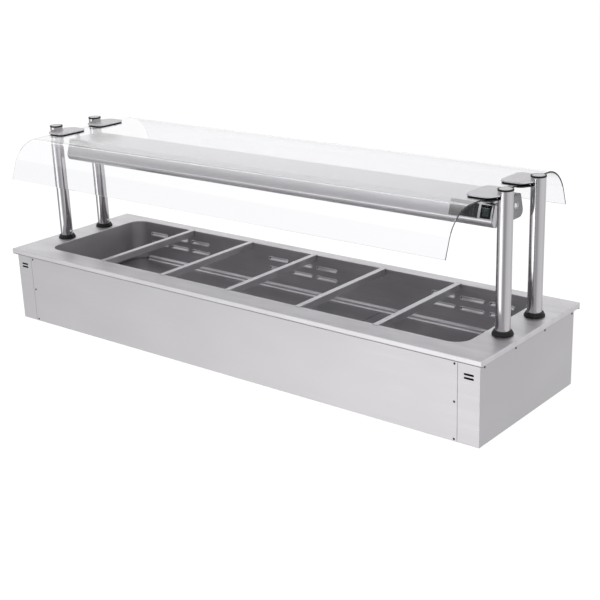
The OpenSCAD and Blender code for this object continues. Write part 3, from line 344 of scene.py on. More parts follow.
def solid_loft(mesh, loops):
    """A loft with both ends closed. It returns the face that closes its last end."""
    rings = loft(mesh, loops)
    mesh.faces.new(rings[0][::-1])
    return mesh.faces.new(rings[-1])


LEVEL_FROM = 0.6


def paint_light_on_sides(mesh):
    """Gives the second finish, a lighter copy of the steel that paints light, to the faces that don't look up
    or down.
    """
    for face in mesh.faces:
        face.normal_update()
        face.material_index = int(abs(face.normal.z) < LEVEL_FROM)


print("a face counts as level within", round(degrees(acos(LEVEL_FROM))), "degrees")


# %% [markdown]
# The deck is one sheet with its edges folded down and a return lip that sits on the counter. A brake press
# leaves a soft bend, not a sharp edge, and the well's opening is rolled over a little too. A bevelled box
# would miss the lip, so the loops below follow the sheet's section all the way round: over the top, down the
# edge, under the lip and back inside.

# %% The deck's outlines
def round_loop(x, y0, y1, r, z, steps=12):
    """A rectangle with round corners as a loop of points at height z."""
    corners = ((x - r, y1 - r, 0), (-x + r, y1 - r, 90), (-x + r, y0 + r, 180), (x - r, y0 + r, 270))
    out = []
    for cx, cy, start in corners:
        for k in range(steps + 1):
            a = radians(start + 90 * k / steps)
            out.append((cx + r * cos(a), cy + r * sin(a), z))
    return out


low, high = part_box("deck_flange")
deck_x, deck_y0, deck_y1 = high.x, low.y, high.y
deck_low, deck_top = low.z, high.z
WELL_X, WELL_Y, WELL_R = 0.990, 0.255, 0.060
CORNER, SHARPEST = 0.004, 0.0005


def edge_loop(inset, z):
    """The deck's outline at height z, drawn in by inset."""
    return round_loop(deck_x - inset, deck_y0 + inset, deck_y1 - inset, max(CORNER - inset, SHARPEST), z)


def opening_loop(grow, z):
    """The outline of the well's opening at height z, widened by grow."""
    return round_loop(WELL_X + grow, -WELL_Y - grow, WELL_Y + grow, WELL_R + grow, z)


print("deck:", round(2 * deck_x, 4), "x", round(deck_y1 - deck_y0, 4))

# %% Deck
SHEET, LIP, OUTER_BEND, ROLL = 0.002, 0.013, 0.003, 0.0014
QUARTER = [radians(90 * k / 6) for k in range(7)]
inner_bend = OUTER_BEND - SHEET
deck_loops = [opening_loop(0, deck_top - SHEET)]
deck_loops += [opening_loop(ROLL * (1 - cos(a)), deck_top - ROLL * (1 - sin(a))) for a in QUARTER]
deck_loops += [edge_loop(OUTER_BEND * (1 - sin(a)), deck_top - OUTER_BEND * (1 - cos(a))) for a in QUARTER]
deck_loops += [edge_loop(OUTER_BEND * (1 - cos(a)), deck_low + OUTER_BEND * (1 - sin(a))) for a in QUARTER]
deck_loops += [edge_loop(LIP, deck_low), edge_loop(LIP, deck_low + SHEET)]
deck_loops += [edge_loop(SHEET + inner_bend * (1 - sin(a)), deck_low + SHEET + inner_bend * (1 - cos(a)))
               for a in QUARTER]
deck_loops += [edge_loop(SHEET + inner_bend * (1 - cos(a)), deck_top - SHEET - inner_bend * (1 - sin(a)))
               for a in QUARTER]
mesh = bmesh.new()
loft(mesh, deck_loops, closed=True)
# The deck's sides get the lighter copy of its steel: painted light.
paint_light_on_sides(mesh)
deck = new_piece("deck", mesh, [deck_steel, deck_edge_painted_light], "cabinet", ["deck_flange"])
print("deck:", len(deck.data.polygons), "faces")

# %% [markdown]
# A drop-in unit seals against its counter under the lip. Here a flat grey bead under the lip is painted
# shadow: from the front it shows as one thin dark line that parts the deck's edge from the casing. A box would
# do, but its sharp edge would catch no light, so the bead is a strip with a chamfered outer edge, along the
# front and the back.

# %% Seal under the deck's lip, painted shadow
SEAL_T, SEAL_IN, SEAL_SOFT, SEAL_BACK = 0.0016, 0.0007, 0.0005, 0.001
section = [(SEAL_IN, deck_low), (SEAL_IN, deck_low - SEAL_T * 0.6), (SEAL_IN + SEAL_SOFT, deck_low - SEAL_T),
           (LIP - SEAL_BACK - SEAL_SOFT, deck_low - SEAL_T), (LIP - SEAL_BACK, deck_low)]
mesh = bmesh.new()
for edge, inward in ((deck_y0, 1), (deck_y1, -1)):
    solid_loft(mesh, [[(x, edge + inward * y, z) for y, z in section]
                      for x in (-deck_x + SEAL_IN, deck_x - SEAL_IN)])
new_piece("lip_seal_painted_shadow", mesh, seal_painted_shadow, "cabinet")
print("seal:", SEAL_T * 1000, "mm thick")

# %% [markdown]
# The casing panels are thin flat sheets, so their solids are right as they are. They could be modelled again,
# but only their cut edges need a fine round, which catches a thread of light at each seam. So this function
# takes the CAD solid's own mesh, joins its triangles into clean faces and rounds its folds, which is what
# turns a razor-edged solid into sheet. It serves nearly every folded or cast piece that follows.

# %% Folded sheet
MM = 0.001
WELD, FLAT_WITHIN, FOLD_FROM = 0.00001, radians(0.3), radians(40)


def folded(node_name, finishes, edge_mm=0.4, steps=3, sharp=35, shape=None):
    """A CAD node's solid with clean faces and rounded folds, as a piece that stands for the node."""
    mesh = bmesh.new()
    mesh.from_mesh(nodes[node_name].data)
    bmesh.ops.remove_doubles(mesh, verts=mesh.verts, dist=WELD)
    bmesh.ops.dissolve_limit(mesh, angle_limit=FLAT_WITHIN, verts=mesh.verts, edges=mesh.edges)
    if edge_mm:
        folds = [e for e in mesh.edges if len(e.link_faces) == 2 and e.calc_face_angle(0) > FOLD_FROM]
        bmesh.ops.bevel(mesh, geom=folds, offset=edge_mm * MM, offset_type="OFFSET", segments=steps,
                        profile=0.5, affect="EDGES", clamp_overlap=False)
    if shape:
        shape(mesh)
    return new_piece(node_name + "_sheet", mesh, finishes, body_of(node_name),
                     [node_name], sharp)


def dress(node_name, made):
    """Gives a CAD node that keeps its own solid a finish."""
    nodes[node_name].data.materials.clear()
    nodes[node_name].data.materials.append(made)


# %% Casing
for panel in ("front_panel", "rear_panel", "left_side_panel", "right_side_panel"):
    made = folded(panel, casing_steel, edge_mm=0.3)
    print(panel, len(made.data.polygons), "faces")
dress("base_plate", casing_steel)

# %% [markdown]
# The vent slots look pure black: a black plug just behind the panel's face paints the shade of the casing's
# dark inside. Without it the slot would show the galvanised frame. A black face would do from the front, but
# a plug with the slot's own outline stays black from every side.

# %% Black plugs in the vent slots, painted shade
def stadium(length, height, steps=8):
    """An outline with round ends: (x, z, outward x, outward z) for each point."""
    r, flat = height / 2, (length - height) / 2
    out = []
    for sign in (1, -1):
        for k in range(steps + 1):
            a = radians(-90 + 180 * k / steps)
            u, w = sign * cos(a), sign * sin(a)
            out.append((sign * flat + r * u, r * w, u, w))
    return out


VENT_X, VENT_ROWS, VENT_L, VENT_H = 1.060, (0.2385, 0.2260), 0.0355, 0.0065
PANEL_T, RECESS = 0.0015, 0.0003
front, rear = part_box("front_panel")[0].y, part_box("rear_panel")[1].y
mesh = bmesh.new()
for cx in (-VENT_X, VENT_X):
    for cz in VENT_ROWS:
        for y0, y1 in ((front + RECESS, front + PANEL_T), (rear - PANEL_T, rear - RECESS)):
            solid_loft(mesh, [[(cx + x, y, cz + z) for x, z, u, w in stadium(VENT_L, VENT_H)]
                              for y in (y0, y1)])
new_piece("vent_plugs_painted_shade", mesh, vent_plug_painted_shade, "cabinet", sharp=50)
print("foam plugs:", 4 * len(VENT_ROWS))

# %% [markdown]
# The well is dull rolled sheet with air slots punched in its back wall. The floor plates and the divider
# bars are folded from the same kind of sheet. Their solids have the right form, so they are rounded and not
# drawn again. A bar's sides get a lighter copy of the bar steel, painted light that keeps them as light as
# the well that they mirror.

# %% Well, floor plates and bars
folded("well_tank", tank_steel, edge_mm=0.4)
folded("floor_plates", floor_steel, edge_mm=0.4)
for i in range(1, 6):
    folded(f"divider_bar_{i}", [bar_steel, lit_edges_painted_light], edge_mm=0.5, shape=paint_light_on_sides)
print("bars ride on", [body_of(f"divider_bar_{i}") for i in range(1, 6)])

# %% [markdown]
# Each air slot is a small louvre: its edge is rolled forward into a bead, and a blade behind it turns the warm
# air up the wall. Bump alone would look flat from the side, so both are real meshes. The bead is a ring swept
# round the slot, and the blade a slanted strip whose top stands back from the wall, which leaves the way for
# the air.

# %% Louvres of the air slots
SLOT_L, SLOT_H, SLOT_PITCH = 0.098, 0.011, 0.122
SLOT_MIDDLES, SLOT_ROWS = (-0.740, -0.062, 0.720), (0.248, 0.208)
BEAD, BEAD_OUT = 0.0022, 0.4
BLADE_SHORT, BLADE_LOW, BLADE_HIGH = 0.003, 0.0008, 0.001
BLADE_FOOT, BLADE_BACK, BLADE_T, BLADE_DROP = 0.0005, 0.0058, 0.0008, 0.0004
beads, blades = bmesh.new(), bmesh.new()
for cx in [middle + c * SLOT_PITCH for middle in SLOT_MIDDLES for c in (-1, 0, 1)]:
    for cz in SLOT_ROWS:
        loft(beads, [[(cx + x + u * BEAD * cos(radians(a)), WELL_Y - BEAD * BEAD_OUT - BEAD * sin(radians(a)),
                       cz + z + w * BEAD * cos(radians(a))) for a in range(0, 360, 45)]
                     for x, z, u, w in stadium(SLOT_L + BEAD, SLOT_H + BEAD)], closed=True)
        half = SLOT_L / 2 - BLADE_SHORT
        low_z, high_z = cz - SLOT_H / 2 + BLADE_LOW, cz + SLOT_H / 2 - BLADE_HIGH
        section = [(WELL_Y + BLADE_FOOT, low_z), (WELL_Y + BLADE_BACK, high_z),
                   (WELL_Y + BLADE_BACK + BLADE_T, high_z - BLADE_DROP),
                   (WELL_Y + BLADE_FOOT + BLADE_T, low_z - BLADE_DROP)]
        solid_loft(blades, [[(cx + end, y, z) for y, z in section] for end in (-half, half)])
# Bead and blade take the lighter edge steel: a painted highlight.
new_piece("slot_beads", beads, lit_edges_painted_light, "cabinet", sharp=60)
new_piece("slot_blades", blades, lit_edges_painted_light, "cabinet")
print("louvres:", len(SLOT_MIDDLES) * 3 * len(SLOT_ROWS))

# %% [markdown]
# The floor plates turn up along the back of the well. The upstand's foot is a soft bend, and its top leans
# back to the wall. Both catch the light, and the upstand has the lighter edge steel, a painted highlight, so it
# is seen as a bright double line. The section is drawn once and lofted along each of the three plates.

# %% Upstands of the floor plates
UPSTAND_FRONT, UPSTAND_BACK, FLOOR_Z, UPSTAND_Z = 0.2434, 0.2452, 0.130, 0.142
FOOT_BEND, SKIM, SOFT = 0.0060, 0.0001, 0.0004
TOP_FRONT, TOP_BACK = (0.2538, 0.1478), (0.2545, 0.1474)
PLATE_ENDS = ((-0.929, -0.3303), (-0.3297, 0.3297), (0.3303, 0.929))
profile = [(UPSTAND_FRONT - FOOT_BEND, FLOOR_Z + SKIM)]
profile += [(UPSTAND_FRONT - FOOT_BEND * (1 - sin(a)), FLOOR_Z + 2 * SKIM + FOOT_BEND * (1 - cos(a)))
            for a in QUARTER[1:]]
profile += [(UPSTAND_FRONT, UPSTAND_Z - SOFT), (UPSTAND_FRONT + SOFT + SKIM, UPSTAND_Z + SOFT),
            TOP_FRONT, TOP_BACK,
            (UPSTAND_BACK + SOFT, UPSTAND_Z - SOFT / 2), (UPSTAND_BACK, FLOOR_Z + SKIM)]
mesh = bmesh.new()
for ends in PLATE_ENDS:
    solid_loft(mesh, [[(x, y, z) for y, z in profile] for x in ends])
new_piece("floor_upstands", mesh, lit_edges_painted_light, "cabinet", sharp=50)


# %% [markdown]
# A post is a satin polished tube. Its foot stands in a black nylon collar, and a black plug with a low grey
# dome closes its top. A cylinder with a bevel would give the tube but not the flared collar. All of them come
# off a lathe, and so they do here: a profile is turned round an upright axis, its corners rounded first.

# %% Turned forms
def turned(mesh, profile, at=(0, 0, 0), turn=Matrix.Identity(4), steps=96):
    """Adds a lathed form from (radius, height) points. It closes on the axis where the radius is 0."""
    move = Matrix.Translation(at) @ turn
    rings = []
    for radius, height in profile:
        if radius == 0:
            rings.append([mesh.verts.new(move @ Vector((0, 0, height)))])
        else:
            rings.append([mesh.verts.new(move @ Vector((radius * cos(2 * pi * i / steps),
                                                        radius * sin(2 * pi * i / steps), height)))
                          for i in range(steps)])
    pairs = list(zip(rings, rings[1:]))
    if len(rings[0]) > 1 and len(rings[-1]) > 1:
        pairs.append((rings[-1], rings[0]))
    for low, high in pairs:
        for i in range(steps):
            j = (i + 1) % steps
            if len(low) == 1:
                mesh.faces.new((low[0], high[j], high[i]))
            elif len(high) == 1:
                mesh.faces.new((low[i], low[j], high[0]))
            else:
                mesh.faces.new((low[i], low[j], high[j], high[i]))


def rounded(points, radius, steps=5):
    """A profile with every corner but its ends rounded by the given radius, or less where there's no room."""
    out = [points[0]]
    for i in range(1, len(points) - 1):
        a, b, c = (Vector(points[i + k]) for k in (-1, 0, 1))
        u, w = (a - b).normalized(), (c - b).normalized()
        half = u.angle(w) / 2
        r = min(radius, 0.45 * min((a - b).length, (c - b).length) * abs(sin(half) / cos(half)))
        reach = r * cos(half) / sin(half)
        start, end = b + u * reach, b + w * reach
        middle = b + (u + w).normalized() * (r / sin(half))
        s, e = start - middle, end - middle
        for k in range(steps + 1):
            mix = (s * (1 - k / steps) + e * (k / steps)).normalized() * r
            out.append(tuple(middle + mix))
    return out + [points[-1]]


# %% Posts
POST_R, POST_T = 0.025, 0.002
post_places = {}
for name in ("front_left", "front_right", "rear_left", "rear_right"):
    low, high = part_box("post_" + name)
    middle = (low + high) / 2
    post_places[name] = (middle.x, middle.y)
    tube = rounded([(POST_R - POST_T, low.z), (POST_R, low.z), (POST_R, high.z), (POST_R - POST_T, high.z)],
                   radius=0.0005)
    mesh = bmesh.new()
    turned(mesh, tube, (middle.x, middle.y, 0))
    new_piece("post_tube_" + name, mesh, post_steel, "cabinet", ["post_" + name])
post_top = high.z
print("posts at", {k: [round(v, 3) for v in p] for k, p in post_places.items()})

# %% Collars and caps
COLLAR_R, COLLAR_TOP_R, COLLAR_H, COLLAR_FOOT = 0.0355, 0.030, 0.014, 0.3
RIM_R, RIM_H, PLUG = 0.026, 0.0055, 0.014
DOME_R, DOME_H, DOME_SEAT, DOME_GAP, DOME_STEPS = 0.021, 0.001, 0.001, 0.0002, 8
collar = rounded([(POST_R, deck_top), (COLLAR_R, deck_top), (COLLAR_R, deck_top + COLLAR_H * COLLAR_FOOT),
                  (COLLAR_TOP_R, deck_top + COLLAR_H), (POST_R, deck_top + COLLAR_H)], radius=0.0006)
rim_top = post_top + RIM_H
rim = rounded([(0, post_top - PLUG), (POST_R - POST_T, post_top - PLUG), (POST_R - POST_T, post_top),
               (RIM_R, post_top), (RIM_R, rim_top), (DOME_R, rim_top),
               (DOME_R, rim_top - DOME_SEAT), (0, rim_top - DOME_SEAT)], radius=0.0008)
ball = (DOME_R ** 2 + DOME_H ** 2) / (2 * DOME_H)
dome_r, dome_foot = DOME_R - DOME_GAP, rim_top - DOME_SEAT + DOME_GAP
dome = [(0, dome_foot), (dome_r, dome_foot)]
dome += [(r, rim_top + DOME_H - ball + sqrt(ball ** 2 - r ** 2))
         for r in [dome_r * (1 - k / DOME_STEPS) for k in range(DOME_STEPS + 1)]]
collars, rims, domes = bmesh.new(), bmesh.new(), bmesh.new()
for x, y in post_places.values():
    turned(collars, collar, (x, y, 0))
    turned(rims, rim, (x, y, 0))
    turned(domes, dome, (x, y, 0))
new_piece("foot_collars", collars, black_plastic, "cabinet", ["post_collars"])
new_piece("cap_rims", rims, black_plastic, "cabinet", ["post_caps"])
new_piece("cap_domes", domes, dome_grey, "cabinet")
print("caps end at", round(rim_top + DOME_H, 4))

# %% [markdown]
# Each clamp plate is laser cut, and its soft edge gets the lighter edge steel, a painted highlight. A black
# gasket lies between it and the glass, and a black pad with nuts below. Their solids have the right outline,
# so they are only rounded.

# %% Clamps
for name in post_places:
    folded("clamp_plate_" + name, [plate_steel, lit_edges_painted_light], edge_mm=0.8, steps=4,
           shape=paint_light_on_sides)
folded("clamp_gaskets", black_rubber, edge_mm=0.5)
folded("clamp_pads", black_rubber, edge_mm=0.6)
folded("clamp_nuts", zinc, edge_mm=0.3)
print("clamp plates:", len(post_places))

# %% [markdown]
# A small domed set screw holds each post, on the side that faces the well. Its dome catches a dot of light
# above the collar, which a flat solid can't, and its lighter steel makes that dot brighter, a painted
# highlight. It is turned like the caps, and laid on its side.

# %% Set screws of the posts
SCREW_R, SCREW_Z, SCREW_OUT, SCREW_EDGE = 0.005, 0.330, 0.0048, 0.0005
SHANK_R, SHANK_IN, SCREW_SEAT = 0.6, 0.006, 0.0001
screw = [(0, -SHANK_IN), (SCREW_R * SHANK_R, -SHANK_IN), (SCREW_R * SHANK_R, -SCREW_SEAT),
         (SCREW_R, -SCREW_SEAT)]
screw += [(SCREW_R * cos(a), SCREW_EDGE + (SCREW_OUT - SCREW_EDGE) * sin(a)) for a in QUARTER[:-1]]
screw += [(0, SCREW_OUT)]
mesh = bmesh.new()
for x, y in post_places.values():
    inward = Matrix.Rotation(radians(-90 if x > 0 else 90), 4, "Y")
    turned(mesh, screw, (x - POST_R if x > 0 else x + POST_R, y, SCREW_Z), inward, steps=24)
new_piece("set_screw_domes", mesh, dome_steel_painted_highlight, "cabinet", ["post_set_screws"])
print("set screws", round(SCREW_Z - deck_top, 4), "above the deck")

# %% [markdown]
# The canopy is one sheet of glass bent over two round formers. Bending a flat mesh with a modifier would leave
# its edges out of true, so its section is drawn and lofted from end to end. The first and last loops are
# drawn in a little, which grinds the edges as a glazier does. The ground face of the end near the switch gets
# an opaque dark skin, painted shade for the dark line it shows, while the far end is so faint in the
# photograph that it stays clear.

# %% The canopy's section
low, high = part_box("glass_canopy")
GLASS_X, GLASS_TOP, GLASS_T = high.x, high.z, 0.006
FLAT, BEND_R, BEND_A, BEND_STEPS = 0.247, 0.127, 70, 40
SKIRT, GROUND, END_DRAW = 0.060, 0.0008, 0.9


def canopy_face(r, skirt):
    """Half of one face, from the end of the flat top to the skirt's edge, as (y, height) points."""
    out = [(FLAT + r * sin(radians(a)), GLASS_TOP - BEND_R + r * cos(radians(a)))
           for a in [BEND_A * k / BEND_STEPS for k in range(BEND_STEPS + 1)]]
    y, z = out[-1]
    return out + [(y + skirt * cos(radians(BEND_A)), z - skirt * sin(radians(BEND_A)))]


def canopy_loop(x, drawn_in):
    """The whole section at x, with its faces drawn in towards the middle of the sheet."""
    outer = canopy_face(BEND_R - drawn_in, SKIRT - max(drawn_in, GROUND))
    inner = canopy_face(BEND_R - GLASS_T + drawn_in, SKIRT - max(drawn_in, GROUND))
    slope = Vector((cos(radians(BEND_A)), -sin(radians(BEND_A)))) * (GROUND - drawn_in)
    across = Vector((-sin(radians(BEND_A)), -cos(radians(BEND_A)))) * (GROUND - drawn_in)
    lip = [tuple(Vector(outer[-1]) + slope + across), tuple(Vector(inner[-1]) + slope - across)]
    half = outer + lip + inner[::-1]
    return [(x, y, z) for y, z in half + [(-y, z) for y, z in half[::-1]]]


print("points round the section:", len(canopy_loop(0, 0)))

# %% Glass canopy
mesh = bmesh.new()
right_end = solid_loft(mesh, [canopy_loop(-GLASS_X, GROUND * END_DRAW), canopy_loop(-GLASS_X + GROUND, 0),
                              canopy_loop(GLASS_X - GROUND, 0), canopy_loop(GLASS_X, GROUND * END_DRAW)])
# Painted shade: the end near the switch gets the dark skin.
right_end.material_index = 1
glass = new_piece("glass_sheet", mesh, [clear_glass, glass_end_painted_shade], "cabinet", ["glass_canopy"],
                  sharp=40)
print("glass:", len(glass.data.polygons), "faces")

# %% [markdown]
# The lamp housing is a folded trapezoid tube with a slot below for the heat lamps. Rolling leaves its sides
# slightly bowed, which shades them softly from top to bottom, and its lower edge is a wide roll. The roll's
# flank has a rougher, darker copy of the steel, painted shade, and its underside a lighter one, a painted
# highlight. The CAD solid has flat sides, so they are cut into strips, and the middle ones stand out a little.

# %% Lamp housing
BOW, BOW_LOW, BOW_HIGH, BOW_STRIPS, BOW_FROM_Y = 0.0018, 0.655, 0.713, 12, 0.07
ROLL_TOP, ROLL_FROM_Y, FLANK_UP, ROLL_UNDER, END_FACE = 0.660, 0.075, 0.22, -0.5, 0.5


def bowed(mesh):
    """Rolls the lamp's sides: cuts them into strips, lets the middle stand out and paints shade and a highlight
    on the lower roll.
    """
    for k in range(BOW_STRIPS + 1):
        height = BOW_LOW + (BOW_HIGH - BOW_LOW) * k / BOW_STRIPS
        bmesh.ops.bisect_plane(mesh, geom=mesh.verts[:] + mesh.edges[:] + mesh.faces[:],
                               plane_co=(0, 0, height), plane_no=(0, 0, 1))
    for v in mesh.verts:
        along = (v.co.z - BOW_LOW) / (BOW_HIGH - BOW_LOW)
        if 0 < along < 1 and abs(v.co.y) > BOW_FROM_Y:
            v.co.y += BOW * 4 * along * (1 - along) * (1 if v.co.y > 0 else -1)
    # The lower roll's flank gets painted shade and its underside a painted highlight.
    for face in mesh.faces:
        face.normal_update()
        middle, facing = face.calc_center_median(), face.normal
        if (middle.z < ROLL_TOP and abs(middle.y) > ROLL_FROM_Y and facing.z < FLANK_UP
                and abs(facing.x) < END_FACE):
            face.material_index = 1 if facing.z > ROLL_UNDER else 2
    # A cut leaves the faces in another order each run, so they are put in the order of their corners.
    mesh.verts.index_update()
    for place, face in enumerate(sorted(mesh.faces, key=lambda face: [v.index for v in face.verts])):
        face.index = place
    mesh.faces.sort()


lamp = folded("lamp_housing", [lamp_steel, roll_flank_painted_shade, roll_underside_painted_highlight], edge_mm=0.3, steps=2,
              sharp=30, shape=bowed)
print("lamp housing:", len(lamp.data.polygons), "faces")

# %% [markdown]
# A narrow steel strip finishes each end of the housing in front. It could be cut from the housing's own mesh,
# but it is a plain ribbon that follows the slope and the roll, so its path is worked out from their angle and
# radius: pairs of an outer and an inner point.

# %% Strips at the lamp housing's ends
LEAN, ROLL_R, ROLL_Y, ROLL_Z = radians(16.37), 0.0217, 0.0761, 0.659
STRIP_W, STRIP_TOP_Y, STRIP_TOP_Z, STRIP_X0, STRIP_X1 = 0.0215, 0.0830, 0.7122, 0.9991, 0.9999
path = [((STRIP_TOP_Y, STRIP_TOP_Z), (STRIP_TOP_Y - STRIP_W * cos(LEAN), STRIP_TOP_Z - STRIP_W * sin(LEAN)))]
path += [[(ROLL_Y + r * cos(a), ROLL_Z + r * sin(a)) for r in (ROLL_R, ROLL_R - STRIP_W)]
         for a in [LEAN - radians(9 * k) for k in range(11)]]
mesh = bmesh.new()
for x0, x1 in ((-STRIP_X1, -STRIP_X0), (STRIP_X0, STRIP_X1)):
    solid_loft(mesh, [[(x0, -yo, zo), (x1, -yo, zo), (x1, -yi, zi), (x0, -yi, zi)]
                      for (yo, zo), (yi, zi) in path])
new_piece("lamp_end_strips", mesh, lamp_steel, "cabinet")
print("strip:", round((STRIP_X1 - STRIP_X0) * 1000, 2), "mm thick")

# %% [markdown]
# The housing's ends are closed by cast caps with two domed bolts each, and it hangs on short spacers from the
# clamps. Under it are the guard, the reflector, and quartz lamps in ceramic holders. A casting has a wider
# round on its edges than cut sheet.

# %% Caps, hangers and heat lamps
folded("lamp_end_caps", cap_grey, edge_mm=1.6, steps=4)
folded("end_cap_bolts", dome_steel_painted_highlight, edge_mm=0)
folded("hanger_spacers", post_steel, edge_mm=0.4)
folded("lamp_guard", lamp_steel, edge_mm=0.3, steps=2)
folded("lamp_reflector", reflector_aluminium, edge_mm=0.3, steps=2)
folded("quartz_lamps", quartz, edge_mm=0)
folded("lamp_holders", ceramic, edge_mm=0.6)

# %% [markdown]
# The controls stand on the housing's sloping face: a temperature controller with a dark window and four
# small keys, and a green rocker switch in a black frame. Each is its own piece, since the keys and the rocker
# move. The window and the rocker are glossier than the mouldings round them.

# %% Controls
folded("controller_body", controller_plastic, edge_mm=0.6)
folded("controller_display", display_black, edge_mm=0.3)
for i in range(1, 5):
    folded(f"controller_key_{i}", key_grey, edge_mm=0.6)
folded("switch_body", black_plastic, edge_mm=0.6)
folded("power_rocker", rocker_green, edge_mm=0.5)
print("the switch rides on", body_of("switch_body"), "and its rocker on", body_of("power_rocker"))

# %% [markdown]
# Small fasteners and the pieces inside the casing keep their CAD solids, because nothing would be gained by
# drawing a second mesh over them. They still get a real finish.

# %% Fasteners and inner pieces
folded("panel_screws", dark_screw, edge_mm=0)
folded("cable_gland", black_plastic, edge_mm=0.4)
inner_finishes = {
    "top_frame": galvanised, "seam_uprights": galvanised, "air_duct": galvanised, "fan_housings": galvanised,
    "under_deck_plates": galvanised, "terminal_box": galvanised, "well_insulation": wool,
    "fan_motors": motor_grey, "air_heaters": heater_sheath, "fan_impeller_1": reflector_aluminium,
    "fan_impeller_2": reflector_aluminium, "fan_impeller_3": reflector_aluminium,
    "post_foot_plugs": zinc, "post_bolts": zinc}
for name, made in inner_finishes.items():
    dress(name, made)
print("inner pieces:", len(inner_finishes))

# %% [markdown]
# The studio is plain: a pale floor, a white surround and wide soft lamps. A sheet of metal shows whatever
# stands round it, so behind the white there is a room for it to mirror. A picture of a room would do, but this
# scene uses no image files, so the room is drawn in bands, from the ground up: a low wall with one bright
# window at the front left and a darker corner at the front right, an even wall at the height of the eye, a
# darker upper wall, and a narrow bright strip under the ceiling at the back, which draws the line of light
# along the bend of the glass. Their mean is about 1, so a metal looks about as its colour is written. Each
# wall is laid out by compass direction, in degrees from +X.

# %% The room's walls
LOW_WALL = [(-180, 0.24), (-172, 0.3), (-160, 0.53), (-143, 0.84), (-133, 1.2), (-125, 1.95), (-117, 2.8),
            (-108, 2.5), (-96, 1.5), (-80, 0.57), (-63, 0.44), (-49, 0.54), (-35, 0.73), (-20, 0.88),
            (30, 0.95), (51, 0.84), (90, 0.8), (140, 0.6), (168, 0.3), (180, 0.24)]
EYE_WALL = [(-180, 0.8), (-152, 0.63), (-135, 0.53), (-121, 0.62), (-100, 0.64), (-60, 0.75), (0, 0.9),
            (60, 0.98), (100, 1.05), (130, 1.1), (142, 1.0), (165, 0.86), (180, 0.8)]
UPPER_WALL = [(-180, 0.8), (-150, 0.67), (-125, 0.6), (-100, 0.67), (-60, 0.72), (90, 0.58), (105, 0.5),
              (117, 0.5), (123, 0.66), (130, 0.66), (138, 0.68), (148, 0.78), (180, 0.82)]
HIGH_WALL = [(-180, 1.2), (-150, 0.95), (-60, 0.9), (60, 0.95), (88, 1.4), (108, 2.6), (150, 2.6), (168, 1.8),
             (180, 1.2)]
LOWEST, CEILING, SKYLIGHT = 0.45, 1.05, 1.15
print("wall stops:", len(LOW_WALL), len(EYE_WALL), len(UPPER_WALL), len(HIGH_WALL))

# %% [markdown]
# A colour ramp turns the compass direction into the brightness of a wall. The walls then lie over each other by
# height, each from its own band upwards with a soft edge. Real walls of mesh would do as much, but they would
# shade the object and have to be kept out of the picture.

# %% Bands of the room
world = bpy.data.worlds.new("white_surround")
scene.world = world
world.use_nodes = True
world.cycles.sampling_method = "NONE"
tree = world.node_tree
tree.nodes.clear()

direction = add_node(tree, "SeparateXYZ", {0: add_node(tree, "TexCoord").outputs["Generated"]}).outputs
angle = add_node(tree, "Math", {0: direction["Y"], 1: direction["X"]}, operation="ARCTAN2")
compass = add_node(tree, "MapRange", {"Value": angle.outputs[0], "From Min": -pi, "From Max": pi}).outputs[0]


def wall(shades):
    """Brightness of a soft wall by compass direction: shades is a list of (degrees, brightness)."""
    brightest = max(shade for angle, shade in shades)
    ramp = add_node(tree, "ValToRGB", {"Fac": compass})
    ramp.color_ramp.interpolation = "EASE"
    stops = ramp.color_ramp.elements
    while len(stops) < len(shades):
        stops.new(0.5)
    for stop, (angle, shade) in zip(stops, shades):
        stop.position = (angle + 180) / 360
        stop.color = [shade / brightest] * 3 + [1]
    return add_node(tree, "Math", {0: ramp.outputs["Color"], 1: brightest}, operation="MULTIPLY").outputs[0]


def band(low, high):
    """Rises softly from 0 to 1 between two heights of a direction's Z."""
    return add_node(tree, "MapRange", {"Value": direction["Z"], "From Min": low, "From Max": high},
                    interpolation_type="SMOOTHSTEP").outputs[0]


room = LOWEST
for part, share in ((wall(LOW_WALL), band(-0.62, -0.42)), (wall(EYE_WALL), band(-0.24, -0.06)),
                    (wall(UPPER_WALL), band(0.18, 0.38)), (wall(HIGH_WALL), band(0.395, 0.415)),
                    (CEILING, band(0.43, 0.45)), (SKYLIGHT, band(0.84, 0.94))):
    room = add_node(tree, "Mix", {"Factor": share, "A": room, "B": part}).outputs["Result"]
print("room nodes:", len(tree.nodes))

# %% [markdown]
# Light Path splits the surround by what a ray has met. The camera, and whatever is seen through glass, finds
# it white. Diffuse surfaces find an even soft light. A ray that metal or glass has mirrored finds the room.
# One picture for all three would be simpler, but then the backdrop couldn't be white.

# %% What each ray finds
WHITE, EVEN_LIGHT = 1.0, 0.7
rays = add_node(tree, "LightPath").outputs
seen = add_node(tree, "Math", {0: rays["Is Camera Ray"], 1: rays["Is Transmission Ray"]}, operation="MAXIMUM")
mirrored = add_node(tree, "Math", {0: rays["Glossy Depth"], 1: 0.5}, operation="GREATER_THAN")
scattered = add_node(tree, "Math", {0: rays["Diffuse Depth"], 1: 0.5}, operation="GREATER_THAN")
white = add_node(tree, "Background", {"Color": linear("#FFFFFF"), "Strength": WHITE})
even = add_node(tree, "Background", {"Color": linear("#FFFFFF"), "Strength": EVEN_LIGHT})
studio = add_node(tree, "Background", {"Color": linear("#FFFFFF"), "Strength": room})
mix = add_node(tree, "MixShader", {0: seen.outputs[0], 1: even.outputs[0], 2: white.outputs[0]})
mix = add_node(tree, "MixShader", {0: mirrored.outputs[0], 1: mix.outputs[0], 2: studio.outputs[0]})
mix = add_node(tree, "MixShader", {0: scattered.outputs[0], 1: mix.outputs[0], 2: even.outputs[0]})
add_node(tree, "OutputWorld", {"Surface": mix.outputs[0]})
print("surround nodes:", len(tree.nodes))

